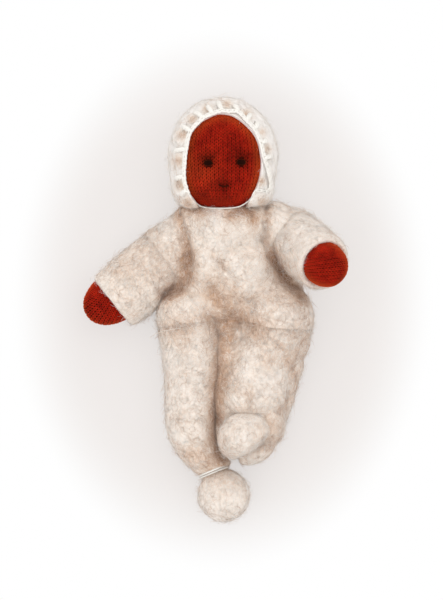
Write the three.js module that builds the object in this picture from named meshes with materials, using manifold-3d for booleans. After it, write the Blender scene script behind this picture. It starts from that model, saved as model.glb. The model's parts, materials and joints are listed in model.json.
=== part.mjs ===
// A pocket baby doll lying on its back: a stuffed knitted head and hands in a hooded suit
// of fluffy wool. +Z is out of the chest, +Y is toward the head, +X is the doll's left side.
import * as THREE from 'three';
import { mergeVertices } from 'three/addons/utils/BufferGeometryUtils.js';
import Module from 'manifold-3d';

const wasm = await Module();
wasm.setup();

// Cloth, thread and clearances, in millimetres
const GAP = 0.3;                  // between pieces that touch
const SUIT_WALL = 1.3;            // fulled wool of the suit
const HOOD_WALL = 1.6;            // wool round the head, a little thicker
const JERSEY_WALL = 0.8;          // knitted skin of the face and hands
const THREAD = 0.55;              // tying thread
const THREAD_PITCH = 1.0;         // from one loop of a winding to the next
const SEAM_PLAY = 0.2;            // round a seam thread, besides its gaps
const FLOOR_FLAT = 0.5;           // how deep the back and the hood are pressed flat

// Head: half width, half height and half depth of the knitted ball, face up
const HEAD_CENTRE = [0.3, 43, 15.7];
const HEAD_HALF = [14.5, 15.8, 14.2];
const CHIN_TAPER = 0.1;           // how much narrower the head is at the chin than at the brow
const NECK_PIVOT_Y = 25.2;
const NECK_RADIUS = 5;
const NECK_LOOPS = 2;
const HOOD_HEM = 15;              // of the hood below the head's centre
const HOOD_FULLNESS = 0.3;        // of the hood's lower half, where it widens to the shoulders

// Opening of the hood round the face
const FACE_HALF_WIDTH = 11.1;
const FACE_TOP = 12.6;            // above the head's centre
const FACE_BOTTOM = 14;           // below the head's centre
const FACE_WIDEST = -3.2;         // height of the widest place, from the head's centre

// Embroidered features, from the head's centre
const EYE_HALF = [1.3, 1.1, 0.35];
const EYES = { right: [-4.4, -1.9], left: [5.5, -1.7] };
const MOUTH_CENTRE = [0.3, -8.6];
const MOUTH_WIDTH = 3;
const MOUTH_THREAD = 0.6;
const MOUTH_SAG = 0.5;

// Crocheted edging: a cord along the opening with stitches that reach back over the hood
const EDGING_CORD = 0.95;
const STITCH_CORD = 0.75;
const STITCH_LENGTH = 4.2;
const STITCH_COUNT = 13;
const STITCH_ARC = 250;           // degrees of the opening that they go round, over the crown
const STITCH_SLANT = 7;           // degrees that a stitch leans, to one side and the other

// Body of the suit
const TORSO_TOP = 27.5;
const TORSO_BOTTOM = -8.5;
const TORSO_CENTRE_X = { top: 0.6, bottom: 3 };
const CHEST_HALF_WIDTH = 15.5;
const BELLY_HALF_WIDTH = 17.5;
const CHEST_HALF_DEPTH = 10.8;
const BELLY_HALF_DEPTH = 12.2;
const TORSO_FULLNESS = 0.52;      // 1 gives round ends, less gives fuller ones

// Arms: a ball in the shoulder, a wide sleeve and a knitted hand. Heading over the floor,
// rise from it and how far the arm lifts from there are in degrees
const SHOULDER_RADIUS = 8.6;
const SLEEVE_RADIUS = 9;
const SLEEVE_LENGTH = 19.7;
const HAND_RADIUS = 6.8;
const HAND_REACH = 10.4;          // how far the hand stands out of the cuff
const HAND_FLATNESS = 0.86;
const HAND_TAIL = 6.4;            // how far the tied wrist goes back into the sleeve
const WRIST_RADIUS = 3.4;
const WRIST_LENGTH = 2.4;         // straight part of the wrist, under its winding
const WRIST_LOOPS = 2;
const ARMS = {
  right: { shoulder: [-17.7, 12.6, 10], heading: 217.5, rise: 0, lift: 60 },
  left: { shoulder: [21.5, 18, 10.4], heading: -38.5, rise: 54, lift: 12 },
};

// Legs: a ball in the hip, a tapered leg and a ball foot tied off at the ankle. A leg bows out
// to its side, most of all in its lower part
const ANKLE_RADIUS = 2.6;
const ANKLE_LOOPS = 1.75;
const GATHER_RADIUS = 3.6;        // where the gathered cloth of the ankle meets the foot
const FOOT_RADIUS = 7.9;
const FOOT_DISTANCE = 9.6;        // from the ankle's tie to the middle of the foot
const LEGS = {
  right: {
    hip: [-9.75, -6.8, 10], ankle: [-3.4, -49.6, 7.9], foot: [0, -58.5, 8.2],
    hipRadius: 9.4, calfRadius: 8, endRadius: 4.9, endFlatness: 0.95, endDrop: 0, endInset: 0.8,
    bow: -3.9,
  },
  left: {
    hip: [15.6, -7.4, 11.8], ankle: [12, -43.8, 9.6], foot: [7.1, -41.1, 17.3],
    hipRadius: 11.4, calfRadius: 12.4, endRadius: 6.6, endFlatness: 0.55, endDrop: 4.8, endInset: 1.2,
    bow: 0,
  },
};
const BOW_PEAK = 256 / 27;        // makes a bow's height 1 at its highest, three quarters down
const HIP_FOLD = 80;              // degrees that a leg folds up over the belly
const SEAM_ANGLE = 138;           // place of the seam thread on a ball, from the limb's direction

// Facets
const SIDES = 15;
const ROWS = 3;
const LOOP_STEPS = 20;
const LOOP_SIDES = 5;
const FAR = 200;                  // reach of a cutting block, past everything

const COLOURS = { wool: 0xe8dfd3, jersey: 0x9c2c14, cotton: 0xf4f1ea, dark: 0x2a0f0a, fill: 0xefe9dd };

const radians = THREE.MathUtils.degToRad;
const smooth = (t) => THREE.MathUtils.smoothstep(t, 0, 1);
const vector = (list) => new THREE.Vector3(...list);

// Solids

function welded(geometry) {
  geometry.deleteAttribute('normal');
  geometry.deleteAttribute('uv');
  const merged = mergeVertices(geometry, 1e-4);
  const index = merged.index.array;
  const kept = [];
  for (let i = 0; i < index.length; i += 3) {
    const [a, b, c] = [index[i], index[i + 1], index[i + 2]];
    if (a !== b && b !== c && c !== a) kept.push(a, b, c);
  }
  merged.setIndex(kept);
  return merged;
}

function solidOf(geometry) {
  const closed = welded(geometry);
  const mesh = new wasm.Mesh({
    numProp: 3,
    vertProperties: new Float32Array(closed.attributes.position.array),
    triVerts: new Uint32Array(closed.index.array),
  });
  return new wasm.Manifold(mesh);
}

function geometryOf(solid) {
  const mesh = solid.getMesh();
  const geometry = new THREE.BufferGeometry();
  geometry.setAttribute('position', new THREE.BufferAttribute(mesh.vertProperties, 3));
  geometry.setIndex(new THREE.BufferAttribute(mesh.triVerts, 1));
  return geometry;
}

function reshaped(geometry, move) {
  const place = geometry.attributes.position;
  const point = new THREE.Vector3();
  for (let i = 0; i < place.count; i += 1) {
    point.fromBufferAttribute(place, i);
    move(point);
    place.setXYZ(i, point.x, point.y, point.z);
  }
  return geometry;
}

// Factor that fills out a unit ball's round at a height, by the power given
function fuller(height, power) {
  const round = Math.sqrt(Math.max(1 - height * height, 0));
  return round > 1e-6 ? round ** (power - 1) : 0;
}

// A round form about the Y axis from the points of its half outline
function turned(points, sides = SIDES) {
  return new THREE.LatheGeometry(points, sides);
}

function ball(centre, radius, sides = 18, rows = 12) {
  const geometry = new THREE.SphereGeometry(radius, sides, rows);
  return solidOf(geometry.translate(...centre));
}

// Tube along a curve, closed on itself or with flat ends
function tube(curve, radius, steps, sides, closed = false) {
  const frames = curve.computeFrenetFrames(steps, closed);
  const rings = closed ? steps : steps + 1;
  const positions = [];
  const index = [];
  for (let i = 0; i < rings; i += 1) {
    const centre = curve.getPointAt(i / steps);
    for (let j = 0; j < sides; j += 1) {
      const angle = (j / sides) * 2 * Math.PI;
      const point = centre.clone()
        .addScaledVector(frames.normals[i], radius * Math.cos(angle))
        .addScaledVector(frames.binormals[i], radius * Math.sin(angle));
      positions.push(point.x, point.y, point.z);
    }
  }
  for (let i = 0; i < steps; i += 1) {
    const here = i * sides;
    const next = ((i + 1) % rings) * sides;
    for (let j = 0; j < sides; j += 1) {
      const k = (j + 1) % sides;
      index.push(here + j, next + k, next + j, here + j, here + k, next + k);
    }
  }
  if (!closed) {
    const last = steps * sides;
    for (let j = 1; j < sides - 1; j += 1) {
      index.push(0, j + 1, j, last, last + j, last + j + 1);
    }
  }
  const geometry = new THREE.BufferGeometry();
  geometry.setAttribute('position', new THREE.Float32BufferAttribute(positions, 3));
  geometry.setIndex(index);
  return geometry;
}

// Thread wound round the Y axis in one unbroken tube
class Winding extends THREE.Curve {
  constructor(radius, loops, pitch) {
    super();
    Object.assign(this, { radius, loops, pitch });
  }

  getPoint(t, target = new THREE.Vector3()) {
    const angle = 2 * Math.PI * this.loops * t;
    const along = this.pitch * this.loops * (t - 0.5);
    return target.set(this.radius * Math.cos(angle), along, this.radius * Math.sin(angle));
  }
}

// Least gap between two places of a winding that are at least half a loop apart
function leastGap(curve, loops) {
  const count = LOOP_STEPS * Math.ceil(loops);
  const points = curve.getSpacedPoints(count);
  const apart = Math.floor(count / loops / 2);
  let least = Infinity;
  for (let i = 0; i < points.length; i += 1) {
    for (let j = i + apart; j < points.length; j += 1) {
      least = Math.min(least, points[i].distanceTo(points[j]));
    }
  }
  return least - THREAD;
}

function winding(name, innerRadius, loops) {
  const curve = new Winding(innerRadius + GAP + THREAD / 2, loops, THREAD_PITCH);
  console.log(`${name}: least gap between loops ${leastGap(curve, loops).toFixed(2)} mm`);
  return tube(curve, THREAD / 2, Math.round(LOOP_STEPS * loops), LOOP_SIDES);
}

// Pieces

const materials = {};
function material(colour, roughness) {
  const key = `${colour}/${roughness}`;
  materials[key] ??= new THREE.MeshStandardMaterial({ color: colour, roughness, metalness: 0 });
  return materials[key];
}

function piece(name, shape, colour, parent) {
  const geometry = shape.isBufferGeometry ? shape : geometryOf(shape);
  const mesh = new THREE.Mesh(geometry, material(colour, 0.95));
  mesh.name = name;
  parent.add(mesh);
  return mesh;
}

function frame(name, place, parent) {
  const group = new THREE.Group();
  group.name = name;
  group.position.copy(place);
  parent.add(group);
  return group;
}

// Turns a group so that its +Y runs along a direction and its +Z stays as near up as it can
function aim(group, direction, up = new THREE.Vector3(0, 0, 1)) {
  const y = direction.clone().normalize();
  const x = new THREE.Vector3().crossVectors(y, up).normalize();
  const z = new THREE.Vector3().crossVectors(x, y);
  group.setRotationFromMatrix(new THREE.Matrix4().makeBasis(x, y, z));
}

// Everything under the floor, in the frame of a group
function floorUnder(group) {
  const slab = new THREE.BoxGeometry(2 * FAR, 2 * FAR, FAR).translate(0, 0, -FAR / 2);
  group.updateWorldMatrix(true, false);
  return solidOf(slab.applyMatrix4(group.matrixWorld.clone().invert()));
}

// Head and hood

const doll = new THREE.Group();
doll.name = 'baby_doll';
const torso = frame('torso', new THREE.Vector3(), doll);
const neckPlace = new THREE.Vector3(HEAD_CENTRE[0], NECK_PIVOT_Y, HEAD_CENTRE[2]);
const neck = frame('pivot_neck', neckPlace, torso);
const head = frame('head', vector(HEAD_CENTRE).sub(neckPlace), neck);
const neckLength = HEAD_CENTRE[1] - NECK_PIVOT_Y;

// The knitted ball grown or shrunk by a margin
function headForm(margin, sides = 18, rows = 14) {
  const geometry = new THREE.SphereGeometry(1, sides, rows);
  reshaped(geometry, (p) => {
    const taper = chinTaper(p.y);
    p.set(
      p.x * (HEAD_HALF[0] + margin) * taper,
      p.y * (HEAD_HALF[1] + margin),
      p.z * (HEAD_HALF[2] + margin) * taper,
    );
  });
  return solidOf(geometry);
}

// How much narrower the ball is at a height, from -1 at the chin to 1 at the crown
const chinTaper = (height) => 1 - CHIN_TAPER * smooth(-height);

// How much wider the hood's sides and back are there, where it widens to the shoulders
function hoodWidth(height) {
  return THREE.MathUtils.lerp(1, fuller(height, HOOD_FULLNESS), smooth(-height * 1.5));
}

// The hood follows the ball in front, but stays wide at the sides and the back down to its hem
function hoodForm(margin) {
  const geometry = new THREE.SphereGeometry(1, 20, 14);
  reshaped(geometry, (p) => {
    const wide = hoodWidth(p.y);
    p.set(
      p.x * (HEAD_HALF[0] + margin) * wide,
      p.y * (HEAD_HALF[1] + margin),
      p.z * (HEAD_HALF[2] + margin) * (p.z > 0 ? chinTaper(p.y) : wide),
    );
  });
  return solidOf(geometry);
}

// Point over the front of the knitted ball, or of the hood, grown by a margin
function onFront(x, y, margin, widthAt = chinTaper) {
  const height = y / (HEAD_HALF[1] + margin);
  const across = x / (HEAD_HALF[0] + margin) / widthAt(height);
  const deep = Math.sqrt(Math.max(1 - height * height - across * across, 0));
  return new THREE.Vector3(x, y, (HEAD_HALF[2] + margin) * chinTaper(height) * deep);
}

// A round column down the neck, from inside the head to below the pivot
function neckColumn(radius, below) {
  const height = neckLength + below;
  const column = new THREE.CylinderGeometry(radius, radius, height, 20);
  return solidOf(column.translate(0, -height / 2, 0));
}

function headCore() {
  const inset = -(JERSEY_WALL + GAP);
  const pivotBall = ball([0, -neckLength, 0], NECK_RADIUS, 20, 12);
  return headForm(inset).add(neckColumn(NECK_RADIUS, 0)).add(pivotBall);
}

function faceSkin() {
  return headForm(0).subtract(headForm(-JERSEY_WALL)).subtract(neckColumn(NECK_RADIUS + GAP, 0));
}

// Egg outline of the face opening at an angle from the crown, clockwise
function openingPoint(angle, grow = 0) {
  const up = Math.cos(angle);
  const reach = (up > 0 ? FACE_TOP - FACE_WIDEST : FACE_BOTTOM + FACE_WIDEST) + grow;
  return new THREE.Vector2((FACE_HALF_WIDTH + grow) * Math.sin(angle), FACE_WIDEST + reach * up);
}

function openingCutter() {
  const outline = new THREE.Shape();
  const steps = 30;
  for (let i = 0; i < steps; i += 1) {
    const point = openingPoint((-i / steps) * 2 * Math.PI);
    if (i === 0) outline.moveTo(point.x, point.y);
    else outline.lineTo(point.x, point.y);
  }
  outline.closePath();
  const deep = HEAD_HALF[2] * 2;
  const prism = new THREE.ExtrudeGeometry(outline, { depth: deep, bevelEnabled: false });
  return solidOf(prism);
}

function hood() {
  const belowHem = new THREE.BoxGeometry(FAR, FAR, FAR).translate(0, -HOOD_HEM - FAR / 2, 0);
  return hoodForm(GAP + HOOD_WALL)
    .subtract(hoodForm(GAP))
    .subtract(openingCutter())
    .subtract(solidOf(belowHem))
    .subtract(neckColumn(NECK_RADIUS + THREAD + 3 * GAP, neckLength))
    .subtract(floorUnder(head));
}

// Cord along the opening's edge and slanted stitches back over the hood
function hoodEdging() {
  const lift = GAP + HOOD_WALL + GAP + EDGING_CORD / 2;
  const around = (angle, grow) => {
    const flat = openingPoint(angle, grow);
    return onFront(flat.x, flat.y, lift, hoodWidth);
  };
  const ring = [];
  for (let i = 0; i < 24; i += 1) ring.push(around((i / 24) * 2 * Math.PI, 0));
  const cord = new THREE.CatmullRomCurve3(ring, true);
  let edging = solidOf(tube(cord, EDGING_CORD / 2, 40, 5, true));
  for (let i = 0; i < STITCH_COUNT; i += 1) {
    const angle = radians(STITCH_ARC * (i / (STITCH_COUNT - 1) - 0.5));
    const slant = radians(STITCH_SLANT) * (i % 2 === 0 ? 1 : -1);
    const route = [0, 0.5, 1].map((t) => around(angle + slant * t, STITCH_LENGTH * t));
    const stitch = new THREE.CatmullRomCurve3(route);
    edging = edging.add(solidOf(tube(stitch, STITCH_CORD / 2, 3, 5)));
  }
  return edging;
}

function eye(place) {
  const geometry = new THREE.SphereGeometry(1, 10, 5).scale(...EYE_HALF);
  const centre = onFront(place[0], place[1], GAP + EYE_HALF[2]);
  const outward = centre.clone().divide(vector(HEAD_HALF)).divide(vector(HEAD_HALF)).normalize();
  const turn = new THREE.Quaternion().setFromUnitVectors(new THREE.Vector3(0, 0, 1), outward);
  return welded(geometry.applyQuaternion(turn).translate(centre.x, centre.y, centre.z));
}

function mouth() {
  const lift = GAP + MOUTH_THREAD / 2;
  const route = [-1, 0, 1].map((side) => {
    const x = MOUTH_CENTRE[0] + (side * MOUTH_WIDTH) / 2;
    return onFront(x, MOUTH_CENTRE[1] + MOUTH_SAG * (side * side - 1), lift);
  });
  return tube(new THREE.CatmullRomCurve3(route), MOUTH_THREAD / 2, 6, 6);
}

piece('neck_tie', winding('neck_tie', NECK_RADIUS, NECK_LOOPS), COLOURS.cotton, neck);
piece('head_core', headCore(), COLOURS.fill, head);
piece('face_skin', faceSkin(), COLOURS.jersey, head);
piece('eye_right', eye(EYES.right), COLOURS.dark, head);
piece('eye_left', eye(EYES.left), COLOURS.dark, head);
piece('mouth_stitch', mouth(), COLOURS.dark, head);
piece('hood', hood(), COLOURS.wool, head);
piece('hood_edging', hoodEdging(), COLOURS.cotton, head);

// Body of the suit

// Pear form, wider and deeper at the belly, grown or shrunk by a margin
function torsoForm(margin, sides = 20, rows = 14) {
  const middle = (TORSO_TOP + TORSO_BOTTOM) / 2;
  const half = (TORSO_TOP - TORSO_BOTTOM) / 2 + margin;
  const geometry = new THREE.SphereGeometry(1, sides, rows);
  reshaped(geometry, (p) => {
    const down = smooth((1 - p.y) / 2);
    const width = THREE.MathUtils.lerp(CHEST_HALF_WIDTH, BELLY_HALF_WIDTH, down) + margin;
    const depth = THREE.MathUtils.lerp(CHEST_HALF_DEPTH, BELLY_HALF_DEPTH, down);
    const lean = THREE.MathUtils.lerp(TORSO_CENTRE_X.top, TORSO_CENTRE_X.bottom, down);
    const fullness = fuller(p.y, TORSO_FULLNESS);
    p.set(
      lean + p.x * width * fullness,
      middle + p.y * half,
      depth - FLOOR_FLAT + p.z * (depth + margin) * fullness,
    );
  });
  return solidOf(geometry);
}

// Room for a limb's ball with its seam thread between the ball and the body
const seamRoom = THREAD + 2 * GAP + SEAM_PLAY;

// Direction of a limb from its heading over the floor and its rise from it, in degrees
function pointing(heading, rise) {
  const flat = Math.cos(radians(rise));
  const turn = radians(heading);
  return new THREE.Vector3(flat * Math.cos(turn), flat * Math.sin(turn), Math.sin(radians(rise)));
}

// Room in the body for a limb at the end of its travel
function limbRoom(root, direction, radius) {
  const reach = radius * 3;
  const column = new THREE.CylinderGeometry(radius, radius, reach, 20).translate(0, reach / 2, 0);
  const turn = new THREE.Quaternion().setFromUnitVectors(new THREE.Vector3(0, 1, 0), direction);
  return solidOf(column.applyQuaternion(turn).translate(...root));
}

function socket(root, radius, direction, limbRadius) {
  return ball(root, radius + seamRoom).add(limbRoom(root, direction, limbRadius + GAP));
}

function sockets() {
  const neckSocket = ball(neckPlace.toArray(), NECK_RADIUS + THREAD + 3 * GAP);
  let all = neckSocket;
  for (const arm of Object.values(ARMS)) {
    const lifted = pointing(arm.heading, arm.rise + arm.lift);
    all = all.add(socket(arm.shoulder, SHOULDER_RADIUS, lifted, SLEEVE_RADIUS));
  }
  for (const leg of Object.values(LEGS)) {
    const folded = vector(leg.ankle).sub(vector(leg.hip)).normalize();
    folded.applyAxisAngle(new THREE.Vector3(-1, 0, 0), radians(HIP_FOLD));
    const thigh = Math.max(leg.hipRadius, leg.calfRadius);
    all = all.add(socket(leg.hip, leg.hipRadius, folded, thigh));
  }
  return all;
}

const bodySockets = sockets();
const torsoCover = torsoForm(0)
  .subtract(torsoForm(-SUIT_WALL))
  .subtract(bodySockets)
  .subtract(floorUnder(torso));
const torsoStuffing = torsoForm(-(SUIT_WALL + GAP)).subtract(bodySockets);
piece('torso_cover', torsoCover, COLOURS.wool, torso);
piece('torso_stuffing', torsoStuffing, COLOURS.fill, torso);

// Limbs

// Outline of a limb: a ball at its root, a swelling shank and an end of its own radius
function limbOutline(root, middle, end, length, margin, past = 0) {
  const path = new THREE.Path();
  const stop = length + past;
  path.moveTo(0, -(root + margin));
  path.absarc(0, 0, root + margin, -Math.PI / 2, 0, false);
  path.bezierCurveTo(
    middle + margin, length * 0.35,
    middle + margin, length * 0.7,
    end + margin, stop,
  );
  path.lineTo(0, stop);
  return path.getPoints(ROWS);
}

// Seam thread on the inner side of a limb's ball, square to the limb
function seamThread(radius) {
  const angle = radians(SEAM_ANGLE);
  const shell = radius + GAP + THREAD / 2;
  const curve = new Winding(shell * Math.sin(angle), 1, 0);
  const loop = tube(curve, THREAD / 2, LOOP_STEPS, LOOP_SIDES, true);
  return loop.translate(0, shell * Math.cos(angle), 0);
}

function handOutline(margin, past = 0) {
  const start = SLEEVE_LENGTH - HAND_TAIL - past;
  const middle = SLEEVE_LENGTH + HAND_REACH - HAND_RADIUS;
  const radius = HAND_RADIUS + margin;
  const wrist = WRIST_RADIUS + margin;
  const path = new THREE.Path();
  path.moveTo(0, start);
  path.lineTo(wrist, start);
  path.lineTo(wrist, SLEEVE_LENGTH - HAND_TAIL + WRIST_LENGTH);
  path.bezierCurveTo(
    wrist + HAND_RADIUS * 0.3, SLEEVE_LENGTH - HAND_TAIL * 0.4,
    radius, middle - HAND_RADIUS * 0.66,
    radius, middle,
  );
  path.absarc(0, middle, radius, 0, Math.PI / 2, false);
  return path.getPoints(ROWS);
}

function handForm(margin, past) {
  const flatten = (p) => {
    const out = smooth((p.y - SLEEVE_LENGTH + HAND_TAIL - WRIST_LENGTH) / HAND_TAIL);
    p.z *= THREE.MathUtils.lerp(1, HAND_FLATNESS, out);
  };
  return solidOf(reshaped(turned(handOutline(margin, past)), flatten));
}

// The cuff is drawn in until it lies round the hand
const cuffRadius = HAND_RADIUS + GAP + SUIT_WALL;

function sleeveForm(margin, past = 0) {
  const outline = limbOutline(SHOULDER_RADIUS, SLEEVE_RADIUS, cuffRadius, SLEEVE_LENGTH, margin, past);
  return solidOf(turned(outline));
}

function buildArm(side, arm) {
  const shoulder = frame(`pivot_shoulder_${side}`, vector(arm.shoulder), torso);
  aim(shoulder, pointing(arm.heading, arm.rise));
  piece(`shoulder_thread_${side}`, seamThread(SHOULDER_RADIUS), COLOURS.cotton, shoulder);
  const sleeve = sleeveForm(0).subtract(sleeveForm(-SUIT_WALL, SUIT_WALL));
  piece(`sleeve_${side}`, sleeve, COLOURS.wool, shoulder);
  const tail = SLEEVE_LENGTH - HAND_TAIL;
  const beyond = new THREE.BoxGeometry(FAR, FAR, FAR).translate(0, tail - GAP + FAR / 2, 0);
  const stuffing = sleeveForm(-(SUIT_WALL + GAP)).subtract(solidOf(beyond));
  piece(`arm_stuffing_${side}`, stuffing, COLOURS.fill, shoulder);
  const thread = winding(`wrist_tie_${side}`, WRIST_RADIUS, WRIST_LOOPS);
  thread.translate(0, tail + WRIST_LENGTH - THREAD_PITCH, 0);
  piece(`wrist_tie_${side}`, thread, COLOURS.cotton, shoulder);
  const hand = handForm(0, 0).subtract(handForm(-JERSEY_WALL, JERSEY_WALL));
  piece(`hand_${side}`, hand, COLOURS.jersey, shoulder);
  piece(`hand_stuffing_${side}`, handForm(-(JERSEY_WALL + GAP), -GAP), COLOURS.fill, shoulder);
}

// Outline of a foot: the ankle's small ball, a short neck and the round foot
function footOutline(margin, past = 0) {
  const neckRadius = ANKLE_RADIUS + margin;
  const radius = FOOT_RADIUS + margin;
  const meet = Math.acos(GATHER_RADIUS / FOOT_RADIUS);
  const path = new THREE.Path();
  if (past > 0) {
    path.moveTo(0, -ANKLE_RADIUS - past);
    path.lineTo(neckRadius, -ANKLE_RADIUS - past);
    path.lineTo(neckRadius, 0);
  } else {
    path.moveTo(0, -neckRadius);
    path.absarc(0, 0, neckRadius, -Math.PI / 2, 0, false);
  }
  path.lineTo(radius * Math.cos(meet), FOOT_DISTANCE - radius * Math.sin(meet));
  path.absarc(0, FOOT_DISTANCE, radius, -meet, Math.PI / 2, false);
  return path.getPoints(ROWS);
}

const footForm = (margin, past) => solidOf(turned(footOutline(margin, past)));

function buildLeg(side, leg) {
  const hip = frame(`pivot_hip_${side}`, vector(leg.hip), torso);
  const along = vector(leg.ankle).sub(vector(leg.hip));
  const length = along.length();
  aim(hip, along);
  const end = length - leg.endInset;
  // The leg grows flatter and sinks toward its end, where the foot can lie over it
  const settle = (p) => {
    const t = THREE.MathUtils.clamp(p.y / length, 0, 1);
    const out = smooth(t);
    p.x -= leg.bow * BOW_PEAK * t ** 3 * (1 - t);
    p.z = p.z * THREE.MathUtils.lerp(1, leg.endFlatness, out) - leg.endDrop * out;
  };
  const legForm = (margin, past) => {
    const outline = limbOutline(leg.hipRadius, leg.calfRadius, leg.endRadius, end, margin, past);
    return solidOf(reshaped(turned(outline), settle));
  };
  const room = ball([0, length, 0], ANKLE_RADIUS + THREAD + 3 * GAP, 18, 12);
  const under = floorUnder(hip);
  piece(`hip_thread_${side}`, seamThread(leg.hipRadius), COLOURS.cotton, hip);
  const hollow = legForm(-SUIT_WALL, -SUIT_WALL);
  const cover = legForm(0, 0).subtract(hollow).subtract(room).subtract(under);
  piece(`leg_cover_${side}`, cover, COLOURS.wool, hip);
  const inset = -(SUIT_WALL + GAP);
  const stuffing = legForm(inset, inset).subtract(room);
  piece(`leg_stuffing_${side}`, stuffing, COLOURS.fill, hip);

  const footFrame = frame(`pivot_ankle_${side}`, new THREE.Vector3(0, length, 0), hip);
  const toWorld = new THREE.Quaternion();
  hip.getWorldQuaternion(toWorld);
  const footway = vector(leg.foot).sub(vector(leg.ankle)).applyQuaternion(toWorld.invert());
  aim(footFrame, footway);
  const foot = footForm(0).subtract(footForm(-SUIT_WALL, SUIT_WALL));
  piece(`foot_${side}`, foot, COLOURS.wool, footFrame);
  piece(`foot_stuffing_${side}`, footForm(-(SUIT_WALL + GAP)), COLOURS.fill, footFrame);
  const tie = winding(`ankle_tie_${side}`, ANKLE_RADIUS, ANKLE_LOOPS);
  piece(`ankle_tie_${side}`, tie, COLOURS.cotton, footFrame);
}

for (const [side, arm] of Object.entries(ARMS)) buildArm(side, arm);
for (const [side, leg] of Object.entries(LEGS)) buildLeg(side, leg);

// The origin is in the middle of the underside
const bounds = new THREE.Box3().setFromObject(doll, true);
doll.position.set(
  -(bounds.min.x + bounds.max.x) / 2,
  -(bounds.min.y + bounds.max.y) / 2,
  -bounds.min.z,
);

export default doll;
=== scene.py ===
import json
import math

import bpy
import numpy as np
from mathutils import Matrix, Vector
from mathutils.bvhtree import BVHTree


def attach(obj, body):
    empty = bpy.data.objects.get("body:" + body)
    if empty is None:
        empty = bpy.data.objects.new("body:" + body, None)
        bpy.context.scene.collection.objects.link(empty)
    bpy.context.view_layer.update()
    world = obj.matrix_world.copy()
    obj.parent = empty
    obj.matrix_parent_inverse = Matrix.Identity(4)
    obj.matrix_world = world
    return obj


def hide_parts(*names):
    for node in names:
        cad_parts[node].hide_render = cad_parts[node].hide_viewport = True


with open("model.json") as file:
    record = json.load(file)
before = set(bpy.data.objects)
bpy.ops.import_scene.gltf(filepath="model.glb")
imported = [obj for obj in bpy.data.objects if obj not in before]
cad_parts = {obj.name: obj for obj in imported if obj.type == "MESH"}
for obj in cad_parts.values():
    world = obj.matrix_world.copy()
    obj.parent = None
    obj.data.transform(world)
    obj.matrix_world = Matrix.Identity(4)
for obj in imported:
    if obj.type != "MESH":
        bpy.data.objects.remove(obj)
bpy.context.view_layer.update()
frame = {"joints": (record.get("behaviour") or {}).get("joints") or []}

MM = 0.001
PIXEL = 0.3  # of the doll to a pixel of the picture
PICTURE_ORIGIN = (222.0, 300.0)  # the pixel over the point below
PICTURE_PLACE = (2.178, 2.869)
SIDES = ("right", "left")

joints = {joint["name"]: joint for joint in frame["joints"]}


def pivot(name):
    return np.array(joints[name]["pos_m"]) / MM


NECK = pivot("head_nod")
SHOULDER = {side: pivot(f"shoulder_swing_{side}") for side in SIDES}
HIP = {side: pivot(f"hip_fold_{side}") for side in SIDES}
ANKLE = {side: pivot(f"ankle_fold_{side}") for side in SIDES}
HEAD = np.array([2.478, 45.869, 15.7])


def spot(x, y):
    """The place over the floor that a pixel of the picture shows."""
    across = (x - PICTURE_ORIGIN[0]) * PIXEL + PICTURE_PLACE[0]
    along = (PICTURE_ORIGIN[1] - y) * PIXEL + PICTURE_PLACE[1]
    return np.array([across, along])


def at(x, y, height):
    """The place at a height over the floor that a pixel of the picture shows."""
    return np.array([*spot(x, y), height])


def unit(vectors):
    vectors = np.asarray(vectors, float)
    return vectors / np.maximum(np.linalg.norm(vectors, axis=-1, keepdims=True), 1e-9)


def smooth(t):
    t = np.clip(t, 0, 1)
    return t * t * (3 - 2 * t)


def between(a, b, t):
    return a + (b - a) * t


def bell(away, reach):
    """1 where a distance is 0, falling to a third at its reach."""
    return np.exp(-((away / reach) ** 2))


def lengths_along(line):
    """How far along a line each of its points lies."""
    return np.concatenate(([0], np.cumsum(np.linalg.norm(np.diff(line, axis=0), axis=1))))


# Noise over points

SPIN = np.array([[0.80, 0.36, -0.48], [-0.48, 0.86, -0.15], [0.36, 0.35, 0.86]])


def hashed(cells, seed):
    x, y, z = cells.astype(np.int64).T
    mixed = (x * 73856093) ^ (y * 19349663) ^ (z * 83492791) ^ (seed * 2654435761)
    mixed &= 0xFFFFFFFF
    mixed = ((mixed ^ (mixed >> 13)) * 1274126177) & 0xFFFFFFFF
    return ((mixed ^ (mixed >> 16)) & 0xFFFF) / 65535


def lumps(points, size, seed):
    """Smooth noise from -1 to 1, with lumps of about the size given."""
    spun = points @ SPIN.T / size
    cell = np.floor(spun)
    t = smooth(spun - cell)
    total = np.zeros(len(points))
    for corner in np.ndindex(2, 2, 2):
        weight = np.prod(np.where(corner, t, 1 - t), axis=1)
        total += weight * hashed(cell + corner, seed)
    return 2 * total - 1


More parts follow.
